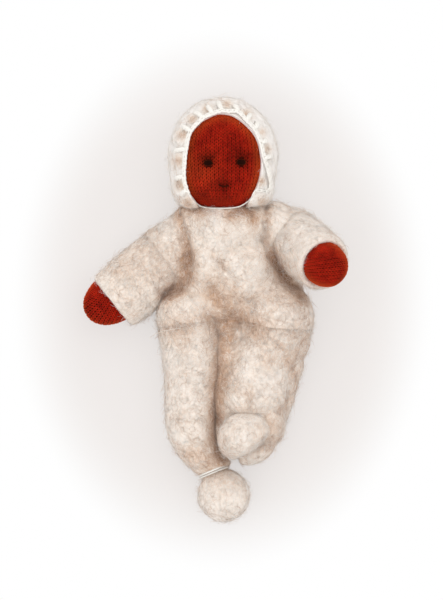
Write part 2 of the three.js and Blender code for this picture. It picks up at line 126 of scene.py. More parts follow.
# Folds of the wool, along lines of the picture: points, depth, width, and the strength of the
# brownish colour there, partly the wool's own and partly painted shade in the fold
FOLDS = (
    (((178, 212), (184, 232), (188, 252), (189, 268)), 1.1, 1.2, 1.0),
    (((188, 256), (187, 278), (179, 289), (167, 295)), 0.8, 1.6, 1.5),
    (((266, 208), (266, 240), (271, 256)), 0.9, 1.1, 0.6),
    (((272, 256), (279, 270), (284, 278), (291, 286), (303, 297)), 0.8, 1.5, 1.25),
    (((275, 262), (282, 272), (288, 280)), 0.5, 0.8, 2.1),
    (((214, 293), (222, 305), (233, 314), (246, 321), (257, 328)), 0.9, 2.4, 1.0),
    (((212, 300), (232, 304), (250, 314)), 0.2, 4.0, 0.6),
    (((228, 303), (248, 300), (270, 300), (300, 296)), 0.4, 2.2, 0.4),
    (((226, 318), (224, 345), (220, 378)), 0, 2.3, 1.05),
    (((220, 378), (217, 410), (215, 440), (222, 462)), 0, 1.6, 1.1),
    (((212, 318), (219, 332)), 0, 2.8, 0.75),
    (((278, 344), (288, 358), (294, 370), (296, 384), (290, 400), (280, 412)), 0.3, 1.0, 0.6),
    (((262, 348), (270, 362)), 0.3, 1.2, 0.3),
    (((251, 388), (250, 408)), 0.4, 0.8, 0.35),
    (((228, 409), (244, 410), (262, 413), (274, 424)), 0, 1.0, 0.35),
    (((192, 456), (212, 465), (226, 462)), 0.3, 3.0, 0.6),
    (((172, 330), (186, 328)), 0.4, 2.2, 0.5),
    (((213, 256), (220, 262), (226, 270)), 0.4, 0.9, 0.45),
    (((230, 216), (241, 211), (250, 214), (254, 222)), 0.4, 1.5, 1.1),
    (((182, 202), (190, 207), (200, 210)), 0.2, 1.6, 1.15),
    (((268, 422), (276, 432), (270, 446)), 0.2, 2.2, 0.5),
    (((300, 335), (303, 352)), 0.3, 2.5, 0.45),
    (((118, 262), (140, 258), (162, 272)), 0, 4.5, 0.28),
)


TAN_SPREAD = 1.7  # how much wider the brownish painted shade of a fold is than the fold


def distance_to(line, places):
    """Least distance from places over the floor to a line of picture points."""
    line = np.array([spot(*point) for point in line])
    least = np.full(len(places), np.inf)
    for a, b in zip(line[:-1], line[1:]):
        along = np.clip(((places - a) @ (b - a)) / ((b - a) @ (b - a)), 0, 1)
        least = np.minimum(least, np.linalg.norm(places - a - along[:, None] * (b - a), axis=1))
    return least


def tan_shade_at(points):
    """How much brownish colour the folds near by give the wool, partly its own tone and partly
    painted shade: 0 for none, 1 or more deep in a fold.
    """
    tan_shade = np.zeros(len(points))
    for line, _, width, strength in FOLDS:
        near = bell(distance_to(line, points[:, :2]), TAN_SPREAD * width)
        tan_shade = np.maximum(tan_shade, strength * near)
    return tan_shade


def folded(points, normals, where=None):
    """Presses the folds into what faces the viewer."""
    faces_up = smooth(normals[:, 2] * 2)
    if where is not None:
        faces_up = faces_up * where(points)
    for line, depth, width, _ in FOLDS:
        if depth:
            near = bell(distance_to(line, points[:, :2]), width)
            points = points - normals * (depth * near * faces_up)[:, None]
    return points


# Meshes as (points, faces)


def closed_faces(rings, sides):
    """Faces of a form with a pole, rings of points and another pole."""
    faces = []
    last = 1 + rings * sides
    for j in range(sides):
        k = (j + 1) % sides
        faces.append((0, 1 + k, 1 + j))
        faces.append((last, last - sides + j, last - sides + k))
        for i in range(rings - 1):
            here, there = 1 + i * sides, 1 + (i + 1) * sides
            faces.append((here + j, here + k, there + k, there + j))
    return faces


def turned(profile, sides):
    """A round form about the Y axis. The profile runs from pole to pole as radius and height."""
    profile = np.asarray(profile, float)
    angle = np.arange(sides) / sides * 2 * math.pi
    rings = profile[1:-1]
    points = np.empty((len(rings), sides, 3))
    points[:, :, 0] = rings[:, :1] * np.sin(angle)
    points[:, :, 1] = rings[:, 1:]
    points[:, :, 2] = rings[:, :1] * np.cos(angle)
    first, last = [0, profile[0, 1], 0], [0, profile[-1, 1], 0]
    return np.vstack((first, points.reshape(-1, 3), last)), closed_faces(len(rings), sides)


def evened(profile, count):
    """A profile in even steps along its own length."""
    profile = np.asarray(profile, float)
    length = lengths_along(profile)
    steps = np.linspace(0, length[-1], count)
    return np.column_stack([np.interp(steps, length, column) for column in profile.T])


def curved(points, count):
    """A smooth curve through points, in even steps."""
    points = np.asarray(points, float)
    padded = np.vstack((2 * points[0] - points[1], points, 2 * points[-1] - points[-2]))
    made = []
    for a, b, c, d in zip(padded, padded[1:], padded[2:], padded[3:]):
        t = np.linspace(0, 1, 16, endpoint=False)[:, None]
        bend = (2 * a - 5 * b + 4 * c - d) * t**2 + (3 * b - a - 3 * c + d) * t**3
        made.append(0.5 * (2 * b + (c - a) * t + bend))
    return evened(np.vstack((*made, points[-1:])), count)


def closed_curve(points, count):
    """A smooth curve through points and back to the first, in even steps."""
    samples = 900
    around = curved(np.vstack((points[-2:], points, points[:2])), samples)
    away = np.linalg.norm(around - points[0], axis=1)
    first = np.argmin(away[: samples // 2])
    last = samples // 2 + np.argmin(away[samples // 2:])
    return evened(around[first: last + 1], count)


def arc(centre, radius, start, end, count=12):
    """Part of a circle about a height, as radius and height, from one angle to another."""
    angle = np.radians(np.linspace(start, end, count))
    return np.column_stack((radius * np.cos(angle), centre + radius * np.sin(angle)))


def ball(centre, radii, rings=24, sides=32):
    """An ellipsoid."""
    points, faces = turned(arc(0, 1, -90, 90, rings), sides)
    return points * radii + centre, faces


def joined(forms):
    """Several forms as one, each kept as it is."""
    points, faces, start = [], [], 0
    for form in forms:
        points.append(form[0])
        faces += [tuple(start + corner for corner in face) for face in form[1]]
        start += len(form[0])
    return np.vstack(points), faces


def hollowed(form, balls):
    """Cuts balls, given as centre and radius, out of a form."""
    scene = bpy.context.scene.collection
    lump = bpy.data.objects.new("scratch", scratch_mesh(*form))
    cutter_form = joined([ball(centre, radius, 48, 64) for centre, radius in balls])
    cutter = bpy.data.objects.new("scratch", scratch_mesh(*cutter_form))
    scene.objects.link(lump)
    scene.objects.link(cutter)
    cut = lump.modifiers.new("cut", "BOOLEAN")
    cut.operation, cut.solver, cut.object = "DIFFERENCE", "EXACT", cutter
    view = bpy.context.evaluated_depsgraph_get()
    made = read_mesh(lump.evaluated_get(view).to_mesh())
    for scratch in (lump, cutter):
        mesh = scratch.data
        bpy.data.objects.remove(scratch)
        bpy.data.meshes.remove(mesh)
    return made


def pillow(centre, radii, fullness, rings=40, sides=60):
    """An ellipsoid with fuller ends along Y, the less its fullness number the more."""
    lay = np.radians(np.linspace(-90, 90, rings))
    round_ = np.maximum(np.cos(lay), 0) ** fullness
    points, faces = turned(np.column_stack((round_, np.sin(lay))), sides)
    return points * radii + centre, faces


def tilted(centre, along, radii):
    """An ellipsoid whose first radius lies along a level direction."""
    points, faces = ball((0, 0, 0), radii)
    first = unit([along[0], along[1], 0])
    second = np.array([-first[1], first[0], 0])
    return points @ np.array([first, second, (0, 0, 1)]) + centre, faces


def placed(form, place, direction, up=(0, 0, 1)):
    """Lays a form's Y axis along a direction from a place."""
    y = unit(direction)
    x = unit(np.cross(y, up))
    basis = np.column_stack((x, y, np.cross(x, y)))
    return form[0] @ basis.T + place, form[1]


def scratch_mesh(points, faces):
    mesh = bpy.data.meshes.new("scratch")
    mesh.from_pydata(points.tolist(), [], faces)
    return mesh


def read_mesh(mesh):
    points = np.empty(len(mesh.vertices) * 3)
    mesh.vertices.foreach_get("co", points)
    return points.reshape(-1, 3), [tuple(face.vertices) for face in mesh.polygons]


def fused(forms, voxel, rounds):
    """Melts forms into one skin and smooths the joins."""
    mesh = scratch_mesh(*joined(forms))
    lump = bpy.data.objects.new("scratch", mesh)
    bpy.context.scene.collection.objects.link(lump)
    remesh = lump.modifiers.new("skin", "REMESH")
    remesh.mode, remesh.voxel_size = "VOXEL", voxel
    soften = lump.modifiers.new("soften", "SMOOTH")
    soften.factor, soften.iterations = 0.5, rounds
    view = bpy.context.evaluated_depsgraph_get()
    made = read_mesh(lump.evaluated_get(view).to_mesh())
    bpy.data.objects.remove(lump)
    bpy.data.meshes.remove(mesh)
    return made


def normals_of(points, faces):
    """The outward direction at each point of a form."""
    mesh = scratch_mesh(points, faces)
    normals = np.empty(len(points) * 3)
    mesh.vertex_normals.foreach_get("vector", normals)
    bpy.data.meshes.remove(mesh)
    return normals.reshape(-1, 3)


def facing_out(points, faces):
    """The faces, turned so that they face outward."""
    corners = np.array([face[:3] for face in faces])
    a, b, c = (points[corners[:, i]] for i in range(3))
    if np.sum(a * np.cross(b, c)) < 0:
        return [face[::-1] for face in faces]
    return faces


# Pieces


def piece(name, body, form, finishes, face_finish=None, marks=None, crease=None):
    """A mesh of the doll that rides on a body, with numbers marked on its points for its finish."""
    points, faces = form
    mesh = bpy.data.meshes.new(name)
    mesh.from_pydata((points * MM).tolist(), [], faces)
    mesh.polygons.foreach_set("use_smooth", [True] * len(mesh.polygons))
    if crease is not None:
        mesh.set_sharp_from_angle(angle=math.radians(crease))
    for finish in finishes:
        mesh.materials.append(finish.material)
    if face_finish is not None:
        mesh.polygons.foreach_set("material_index", face_finish)
    for mark, values in (marks or {}).items():
        mesh.attributes.new(mark, "FLOAT", "POINT").data.foreach_set("value", values)
    made = bpy.data.objects.new(name, mesh)
    bpy.context.scene.collection.objects.link(made)
    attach(made, body)
    return made


def tubes(lines, radii, ups, sides):
    """Closed tubes along lines, with their ends drawn to a point."""
    count, steps = lines.shape[:2]
    ahead = unit(np.gradient(lines, axis=1))
    aside = unit(np.cross(ahead, ups))
    over = np.cross(aside, ahead)
    angle = np.arange(sides) / sides * 2 * math.pi
    spokes = aside[:, 1:-1, None] * np.cos(angle)[:, None]
    spokes = spokes + over[:, 1:-1, None] * np.sin(angle)[:, None]
    radii = np.broadcast_to(radii, (count, steps))
    rings = lines[:, 1:-1, None] + spokes * radii[:, 1:-1, None, None]
    points = np.concatenate((lines[:, :1], rings.reshape(count, -1, 3), lines[:, -1:]), axis=1)
    pattern = closed_faces(steps - 2, sides)
    size = points.shape[1]
    faces = []
    for i in range(count):
        start = i * size
        faces += [tuple(start + corner for corner in face) for face in pattern]
    return points.reshape(-1, 3), faces


def plied(line, radius, ply, twist, ups, sides=6):
    """Twisted yarn: strands wound round a line. Twist is the length of one turn."""
    line = np.asarray(line, float)
    ahead = unit(np.gradient(line, axis=0))
    aside = unit(np.cross(ahead, ups))
    over = np.cross(aside, ahead)
    length = lengths_along(line)
    strands = []
    for i in range(ply):
        angle = length / twist * 2 * math.pi + i / ply * 2 * math.pi
        offset = aside * np.cos(angle)[:, None] + over * np.sin(angle)[:, None]
        strands.append(line + offset * radius * 0.5)
    return tubes(np.array(strands), radius * 0.58, np.broadcast_to(ups, (ply, *line.shape)), sides)


# Finishes


class Value:
    """A number that a node gives, so that shader maths reads as sums."""

    def __init__(self, finish, socket):
        self.finish, self.socket = finish, socket

    def _with(self, operation, *others):
        return self.finish.node("Math", {"operation": operation}, dict(enumerate(others)))

    def __add__(self, other):
        return self._with("ADD", self, other)

    def __sub__(self, other):
        return self._with("SUBTRACT", self, other)

    def __rsub__(self, other):
        return self._with("SUBTRACT", other, self)

    def __mul__(self, other):
        return self._with("MULTIPLY", self, other)

    def __truediv__(self, other):
        return self._with("DIVIDE", self, other)

    def __abs__(self):
        return self._with("ABSOLUTE", self)

    def clamped(self):
        return self._with("MINIMUM", self._with("MAXIMUM", self, 0.0), 1.0)

    __radd__, __rmul__ = __add__, __mul__


class Finish:
    """A material and its nodes."""

    def __init__(self, name, **shader):
        self.material = bpy.data.materials.new(name)
        self.material.use_nodes = True
        self.tree = self.material.node_tree
        self.shader = self.tree.nodes["Principled BSDF"]
        for socket, value in shader.items():
            self.shader.inputs[socket.replace("_", " ")].default_value = value

    def node(self, kind, settings=None, inputs=None, output=0):
        made = self.tree.nodes.new("ShaderNode" + kind)
        for setting, value in (settings or {}).items():
            setattr(made, setting, value)
        for socket, value in (inputs or {}).items():
            self.feed(value, made.inputs[socket])
        return Value(self, made.outputs[output])

    def feed(self, value, socket):
        if isinstance(value, Value):
            self.tree.links.new(value.socket, socket)
        else:
            socket.default_value = value

    def set(self, socket, value):
        self.feed(value, self.shader.inputs[socket])

    def place(self):
        return self.node("TexCoord", output="Object")

    def stretched(self, place, turn, scale):
        return self.node("Mapping", inputs={0: place, "Rotation": turn, "Scale": scale})

    def noise(self, place, size, detail=2.0, distortion=0.0):
        """Noise from 0 to 1, with lumps of about a size in millimetres."""
        inputs = {"Vector": place, "Scale": 1000 / size, "Detail": detail, "Distortion": distortion}
        return self.node("TexNoise", inputs=inputs)

    def mix(self, factor, a, b):
        """A colour between two colours."""
        return self.node("Mix", {"data_type": "RGBA"}, {0: factor, 6: a, 7: b}, 2)

    def bump(self, height, strength, depth):
        inputs = {"Strength": strength, "Distance": depth * MM, "Height": height}
        return self.node("Bump", inputs=inputs)


def linear(colour):
    """A colour as written in a drawing program, from 0 to 255, for a shader."""
    c = np.asarray(colour, float) / 255
    light = np.where(c <= 0.04045, c / 12.92, ((c + 0.055) / 1.055) ** 2.4)
    return (*light.tolist(), 1.0)


# The wool's own tones; TAN and BROWN also serve as painted shade in its folds.
WHITE, CREAM, TAN, BROWN = (
    linear(c) for c in ((253, 250, 247), (243, 231, 219), (208, 172, 142), (164, 122, 94))
)


def thin_lines(finish, place, size, width):
    """Curly hairs: where a noise passes through its middle value."""
    off = abs(finish.noise(place, size, 1.0, 1.2) - 0.5)
    return (1 - off / width).clamped()


def wool_finish():
    """Cream wool with curly hairs over it, brownish in random patches and with painted shade in its
    folds, whiter where its tan_shade mark is below 0.
    """
    f = Finish("wool", Roughness=0.95, Specular_IOR_Level=0.1, Sheen_Weight=0.5)
    place = f.place()
    tan_shade = f.node("Attribute", {"attribute_name": "tan_shade"}, output="Fac")
    patches = f.noise(place, 7.0, 3.0)
    mottle = f.noise(place, 2.0, 4.0, 0.6)
    long = f.stretched(place, (0.3, 0.5, 0.6), (1.0, 2.4, 1.6))
    wide = f.stretched(place, (0.9, 0.2, 2.2), (2.2, 1.0, 1.7))
    hairs = thin_lines(f, long, 2.2, 0.03)
    more = thin_lines(f, wide, 1.6, 0.03)
    pale = thin_lines(f, wide, 2.9, 0.04)
    fibre = f.noise(place, 0.6, 2.0, 1.0)
    # Painted shade from the folds' tan_shade mark over the wool's own random patches: creamier,
    # then brownish, then brown deep in a fold.
    tone_and_shade = tan_shade * (0.5 + mottle * 0.9) + (patches - 0.54) * 1.1 + (fibre - 0.5) * 0.5
    colour = f.mix((patches * 0.8 + 0.45 + tan_shade).clamped(), WHITE, CREAM)
    colour = f.mix(tone_and_shade.clamped(), colour, TAN)
    colour = f.mix(((tone_and_shade - 0.7) * 1.6).clamped() * 0.8, colour, BROWN)
    colour = f.mix(pale * 0.5, colour, WHITE)
    colour = f.mix(hairs * (0.1 + patches * 0.3), colour, BROWN)
    colour = f.mix(more * mottle * 0.5, colour, TAN)
    f.set("Base Color", colour)
    height = mottle + f.noise(place, 0.45, 2.0) * 0.5 + (hairs + more + pale) * 0.2
    f.set("Normal", f.bump(height, 0.15, 0.2))
    return f


def hair_finish(name, colour, sheen=0.4):
    shine = {"Roughness": 0.8, "Specular_IOR_Level": 0.15, "Sheen_Weight": sheen}
    return Finish(name, Base_Color=colour, **shine)


def jersey_finish(name, deep, light, dark, lit_rim, twist):
    """Dyed yarn, a little uneven, with painted shade where it lies deep and a painted orange rim
    light where the form turns away.
    """
    f = Finish(name, Roughness=0.9, Specular_IOR_Level=0.05, Sheen_Weight=0.3)
    f.set("Sheen Tint", linear((255, 120, 60)))
    place = f.place()
    shade = f.node("Attribute", {"attribute_name": "shade"}, output="Fac")
    painted_light = f.node("Attribute", {"attribute_name": "painted_light"}, output="Fac")
    uneven = f.noise(place, 4.0, 2.0)
    fine = f.noise(place, 0.9, 3.0)
    colour = f.mix((uneven * 1.0 + fine * 1.2 - 0.65).clamped(), linear(deep), linear(light))
    colour = f.mix(painted_light * (0.55 + fine * 0.3), colour, linear(lit_rim))
    f.set("Base Color", f.mix(shade, colour, linear(dark)))
    f.set("Normal", f.bump(fine, 0.4, twist))
    return f


def cotton_finish():
    f = Finish("cotton", Roughness=0.7, Specular_IOR_Level=0.25, Sheen_Weight=0.2)
    place = f.place()
    fine = f.noise(place, 0.3, 2.0)
    f.set("Base Color", f.mix(fine, linear((238, 234, 226)), linear((252, 250, 246))))
    f.set("Normal", f.bump(fine, 0.4, 0.1))
    return f


WOOL = wool_finish()
HAIRS = [
    hair_finish("hair_white", linear((252, 249, 245))),
    hair_finish("hair_cream", linear((245, 235, 225))),
    hair_finish("hair_tan", linear((226, 201, 180))),
    hair_finish("hair_brown", linear((192, 155, 128))),
]
# Its third colour is painted shade between the loops and its fourth a painted orange rim light.
JERSEY = jersey_finish("jersey", (118, 10, 9), (196, 40, 20), (34, 3, 2), (202, 88, 40), 0.12)
# Painted shade: the jersey under the loops, much darker than its yarn, shows in the gaps between
# them.
SHADED_JERSEY = jersey_finish("jersey_under_shade", (48, 5, 2), (66, 8, 3), (30, 3, 1), (66, 8, 3), 0.1)
DARK = jersey_finish("dark_thread", (14, 3, 2), (26, 6, 4), (8, 1, 1), (26, 6, 4), 0.08)
LIPS = jersey_finish("mouth_thread", (44, 4, 3), (60, 6, 4), (16, 2, 1), (60, 6, 4), 0.08)
COTTON = cotton_finish()
YARN_HAIRS = [
    hair_finish("yarn_hair", linear((170, 52, 24)), 0),
    hair_finish("yarn_hair_light", linear((196, 84, 44)), 0),
]


# Hairs

HAIR_STEPS = 7  # points along a hair
MOST_HAIRS = 6600  # in one piece, for its triangles
HAIRINESS = 1.2  # wool hairs to the square millimetre
LEAST_HEIGHT = 0.06  # of a hair over the floor


def nearest_on(skin, places):
    """The nearest points of a skin, and its outward directions there."""
    found = [skin.find_nearest(place) for place in places.tolist()]
    return np.array([tuple(f[0]) for f in found]), np.array([tuple(f[1]) for f in found])


def triangles_of(form):
    """The corners of a form's faces, cut into triangles, and twice the area of each."""
    points, faces = form
    corners = np.array([(f[0], f[i], f[i + 1]) for f in faces for i in range(1, len(f) - 1)])
    a, b, c = (points[corners[:, i]] for i in range(3))
    return a, b, c, np.linalg.norm(np.cross(b - a, c - a), axis=1)


def curls(form, count, seed, keep, length, rise, stand, thickness):
    """Lines of hairs that lie over a form, some of them standing off it, with their widths."""
    points, faces = form
    draw = np.random.default_rng(seed)
    a, b, c, area = triangles_of(form)
    chosen = draw.choice(len(area), count * 3, p=area / area.sum())
    u, v = draw.random((2, len(chosen), 1))
    u, v = np.where(u + v > 1, 1 - u, u), np.where(u + v > 1, 1 - v, v)
    starts = a[chosen] * (1 - u - v) + b[chosen] * u + c[chosen] * v
    if keep is not None:
        starts = starts[keep(starts)]
    starts = starts[:count]
    count = len(starts)
    skin = BVHTree.FromPolygons(points.tolist(), faces)
    step = draw.uniform(*length, (count, 1)) / (HAIR_STEPS - 1)
    turn = draw.normal(0, 0.35, (count, 1))
    way = draw.normal(size=(count, 3))
    lines, ups = np.empty((count, HAIR_STEPS, 3)), np.empty((count, HAIR_STEPS, 3))
    place = starts
    for s in range(HAIR_STEPS):
        found, normal = nearest_on(skin, place)
        lines[:, s], ups[:, s] = found, normal
        way = unit(way - normal * np.sum(way * normal, axis=1, keepdims=True))
        bend = turn * step * 3 + draw.normal(0, 0.3, (count, 1))
        way = way * np.cos(bend) + np.cross(normal, way) * np.sin(bend)
        place = found + way * step
    t = np.linspace(0, 1, HAIR_STEPS)
    lie = draw.uniform(0.05, 0.3, (count, 1)) * np.sin(math.pi * t)
    off = draw.uniform(*rise, (count, 1)) * t**1.6
    lift = np.where(draw.random((count, 1)) < stand, off, lie) - 0.03
    radii = draw.uniform(*thickness, (count, 1)) * np.sin(math.pi * (0.1 + 0.8 * t))
    lines = lines + ups * lift[:, :, None]
    lines[:, :, 2] = np.maximum(lines[:, :, 2], LEAST_HEIGHT)
    return starts, tubes(lines, radii, ups, 3), draw


WOOL_LUMPS = ((0.42, 8.0), (0.1, 3.6), (0.015, 1.7))  # heights and sizes


def fluffed(form, seed, amount=1.0, where=None):
    """Gives a form the lumps and folds of fluffy wool, and keeps it on the floor."""
    points, faces = form
    normals = normals_of(points, faces)
    height = np.zeros(len(points))
    for i, (rise, size) in enumerate(WOOL_LUMPS):
        height += rise * lumps(points, size, seed + i)
    height = height * amount * (1 if where is None else where(points))
    points = folded(points + normals * height[:, None], normals, where)
    points[:, 2] = np.maximum(points[:, 2], 0.05 + 0.05 * lumps(points, 1.0, seed + 4))
    return points, faces


def limb_way(side, part):
    """The root and the direction of an arm or a leg."""
    if part == "arm":
        return SHOULDER[side], ARM_WAY[side]
    return HIP[side], unit(ANKLE[side] - HIP[side])


def past_root(side, part):
    """A rule for how far along a limb its wool is free to be lumpy."""
    root, way = limb_way(side, part)
    return lambda places: smooth(((places - root) @ way + 1.5) / 5)


def below_root(side, part):
    """A rule that leaves out hairs deep in the body's socket."""
    root, way = limb_way(side, part)
    return lambda places: (places - root) @ way > -3.5


def fleece(name, body, form, density, seed, keep=None, tan_shade=tan_shade_at):
    """Curly hairs of wool over a form, so many to the square millimetre."""
    a, b, c, area = triangles_of(form)
    area = area / 2
    if keep is not None:
        area = area * keep((a + b + c) / 3)
    count = min(int(area.sum() * density), MOST_HAIRS)
    starts, made, draw = curls(form, count, seed, keep, (3, 7), (0.4, 2.1), 0.28, (0.02, 0.038))
    count = len(starts)
    # Hairs near the folds are brownish more often: painted shade, along with the wool's own
    # brownish hairs.
    fold_tan_shade = tan_shade(starts)
    pick = draw.random(count) + 0.1 * lumps(starts, 4.0, seed) - 0.25 * np.minimum(fold_tan_shade, 0)
    tone = np.where(pick > 0.5, 0, np.where(pick > 0.18, 1, np.where(pick > 0.05, 2, 3)))
    tan_shaded = draw.random(count) < fold_tan_shade * 0.85
    tone = np.where(tan_shaded, np.where(draw.random(count) < 0.6, 2, 3), tone)
    each = len(made[1]) // count
    return piece(name, body, made, HAIRS, np.repeat(tone, each).tolist())


def yarn_fuzz(name, body, form, count, seed, keep):
    """Short hairs that stand off the knitting."""
    starts, made, draw = curls(form, count, seed, keep, (0.8, 2.2), (0.15, 0.7), 0.6, (0.018, 0.03))
    tone = np.repeat(draw.integers(0, 2, len(starts)), len(made[1]) // len(starts))
    return piece(name, body, made, YARN_HAIRS, tone.tolist())


suit = {}  # the forms of the wool pieces, kept for the hairs over their seams


def wool(
    name, body, form, nodes, seed,
    tan_shade=tan_shade_at, over=None, keep=None, crease=None, thick=1.0,
):
    """A piece of wool with its hairs, which lie over the form itself or over another."""
    made = piece(name, body, form, [WOOL], marks={"tan_shade": tan_shade(form[0])}, crease=crease)
    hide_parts(*nodes)
    suit[name] = form
    for part in range(2):
        title = f"{name}_hairs_{part + 1}"
        fleece(title, body, over or form, HAIRINESS * thick, seed + 100 * part, keep, tan_shade)


# Body of the suit

BODY_TOP, BODY_BOTTOM = 31.2, -3.6
SOCKET_PLAY = 0.15  # round a limb's ball in the body
SHELL = 0.42  # how thick the suit lies over a limb's ball
# What fills out the trunk at the chest, the sides, the belly and between the legs: middles, radii
BODY_FILL = (
    ((2.5, 26.0, 15.8), (12.8, 6.6, 8.8)),
    ((11.5, 25.8, 12.0), (6.5, 6.4, 10.0)),
    ((-6.5, 25.6, 12.0), (6.5, 6.3, 10.0)),
    ((17.5, 24.4, 10.6), (8.6, 8.0, 8.6)),
    ((20.5, 7.5, 8.6), (5.8, 5.8, 7.8)),
    ((-1.5, 14.0, 15.0), (8.5, 9.5, 8.6)),
    ((9.5, 13.5, 15.0), (8.5, 9.5, 8.8)),
    ((5.0, 3.5, 12.0), (12, 7.5, 9.4)),
    ((4.0, -4.0, 9.2), (6.2, 7.0, 7.2)),
)
BEHIND_SHOULDER = ((5.5, 9.0), (8.5, 8.7))  # at the right: how far from the arm's root, and radius


def body_form():
    """Pear form with a full top, wider and deeper at the belly, that slopes down to the hips."""
    rings, sides = 70, 100
    lay = np.radians(np.linspace(-90, 90, rings + 2))
    height, round_ = np.sin(lay), np.cos(lay)
    points, faces = turned(np.column_stack((round_, height)), sides)
    down = smooth((1 - points[:, 1]) / 2)
    ring = np.sqrt(np.maximum(1 - points[:, 1] ** 2, 1e-9))
    full = ring ** (0.5 - 1)
    deep = ring ** (between(0.5, 0.95, smooth(0.3 - points[:, 1])) - 1)
    middle, half = (BODY_TOP + BODY_BOTTOM) / 2, (BODY_TOP - BODY_BOTTOM) / 2
    points[:, 0] = between(2.8, 5.2, down) + points[:, 0] * between(15.6, 17.8, down) * full
    depth = between(10.8, 12.2, down)
    points[:, 2] = depth - 0.5 + points[:, 2] * depth * np.where(points[:, 2] > 0, deep, full)
    points[:, 1] = middle + points[:, 1] * half
    return points, faces


def heading(turn, rise):
    turn, rise = math.radians(turn), math.radians(rise)
    flat = math.cos(rise)
    return np.array([flat * math.cos(turn), flat * math.sin(turn), math.sin(rise)])


ARM_WAY = {"right": heading(217.5, 0), "left": heading(-38.5, 54)}
ARM_BALL = {"right": 8.75, "left": 8.75}
HIP_BALL = {"right": 9.4, "left": 11.4}
VOXEL = 0.4  # of the suit's melted forms


def make_body():
    """The trunk, filled out round the balls of the limbs and hollowed for them."""
    forms = [
        body_form(),
        pillow((2.2, 23.8, 12.4), (14.0, 7.9, 12.2), 0.32),
        *(ball(middle, radii) for middle, radii in BODY_FILL),
    ]
    for back, radius in BEHIND_SHOULDER:
        forms.append(ball(SHOULDER["right"] - ARM_WAY["right"] * back, radius))
    balls, limbs, bridges = [], [], []
    for side in SIDES:
        for part, radius in (("arm", ARM_BALL[side]), ("leg", HIP_BALL[side])):
            root, way = limb_way(side, part)
            forms.append(ball(root - way * 2, radius + SHELL))
            bridges.append(ball(root + way * 1.5, radius + SHELL - 0.1))
            balls.append((root, radius + SOCKET_PLAY))
            limbs.append((root, way, radius))

    def clear_of_limbs(places):
        free = np.ones(len(places))
        for root, _, radius in limbs:
            away = np.linalg.norm(places - root, axis=1) - radius
            free = np.minimum(free, 0.15 + 0.85 * smooth((away - 0.2) / 3))
        return free

    def on_trunk(places):
        kept = np.ones(len(places), bool)
        for root, way, radius in limbs:
            off = places - root
            kept &= (off @ way < 0.8) | (np.linalg.norm(off, axis=1) > radius + 1.2)
        return kept

    form = hollowed(fluffed(fused(forms, VOXEL, rounds=24), 10, 1, clear_of_limbs), balls)
    over = fluffed(fused(forms + bridges, VOXEL, rounds=24), 10, 1, clear_of_limbs)
    nodes = ("torso_cover", "torso_stuffing")
    wool("wool_body", "torso", form, nodes, 11, over=over, keep=on_trunk, crease=50)


# Sleeves: how long, how wide at the mouth, and how the mouth slants and hangs
SLEEVE_LENGTH = {"right": 19.7, "left": 19.2}
SLEEVE_RIM = {"right": 9.5, "left": 8.4}
SLEEVE_SLANT = {"right": -0.04, "left": 0.0}
SLEEVE_DROOP = {"right": 1.3, "left": 0.0}
SLEEVE_WALL = 2.0
SLEEVE_SEED = {"right": 20, "left": 30}  # of its lumps
SLEEVE_HAIR_SEED = {"right": 26, "left": 25}


def limb_profile(root, stations, end):
    """A ball at the root and a shank through stations, as radius and height."""
    shank = curved([(root, 0), *stations], 60)
    return np.vstack((arc(0, root, -90, -4, 30), shank, end))


def droop(side):
    """How far the mouth of the sleeve hangs aside of the arm's direction."""
    return unit(np.cross((0, 0, 1), ARM_WAY[side])) * SLEEVE_DROOP[side]


def make_sleeve(side):
    length, rim = SLEEVE_LENGTH[side], SLEEVE_RIM[side]
    inner = rim - SLEEVE_WALL
    bend = length - 1.2
    turn = np.radians(np.linspace(0, 180, 14))
    across = (rim + inner) / 2 + (rim - inner) / 2 * np.cos(turn)
    lip = np.column_stack((across, bend + 1.5 * np.sin(turn)))
    inside = [(inner, length - 3), (inner - 0.6, length - 5), (0, length - 5.5)]
    stations = [(9.1, 6), (rim + 0.4, 12), (rim + 0.1, bend)]
    profile = limb_profile(ARM_BALL[side], stations, np.vstack((lip, inside)))
    points, faces = turned(evened(profile, 120), 150)
    points[:, 1] -= SLEEVE_SLANT[side] * points[:, 0] * smooth((points[:, 1] - 5) / 8)
    points[:, 0] -= SLEEVE_DROOP[side] * smooth((points[:, 1] - 3) / 14)
    form = placed((points, faces), SHOULDER[side], ARM_WAY[side])

    def outer(places):
        off = places - SHOULDER[side]
        along = off @ ARM_WAY[side]
        middle = np.outer(smooth((along - 3) / 14), droop(side)) + np.outer(along, ARM_WAY[side])
        aside = np.linalg.norm(off - middle, axis=1)
        return smooth((aside - rim + 2.3) / 1.2 + (along < length - 7))

    free = past_root(side, "arm")
    form = fluffed(form, SLEEVE_SEED[side], 0.85, lambda places: outer(places) * free(places))
    near = below_root(side, "arm")
    wool(
        f"wool_sleeve_{side}", f"arm_{side}", form, (f"sleeve_{side}", f"arm_stuffing_{side}"),
        SLEEVE_HAIR_SEED[side], keep=lambda places: (outer(places) > 0.4) & near(places),
    )


RIGHT_LEG = ((9.5, 6), (9.0, 14), (8.2, 23), (7.1, 33), (6.2, 39))  # radius, way from the hip
RIGHT_BOW = 4.2  # how far it bows out to its side
BOW_PEAK = 256 / 27  # makes the bow's height 1 at its highest


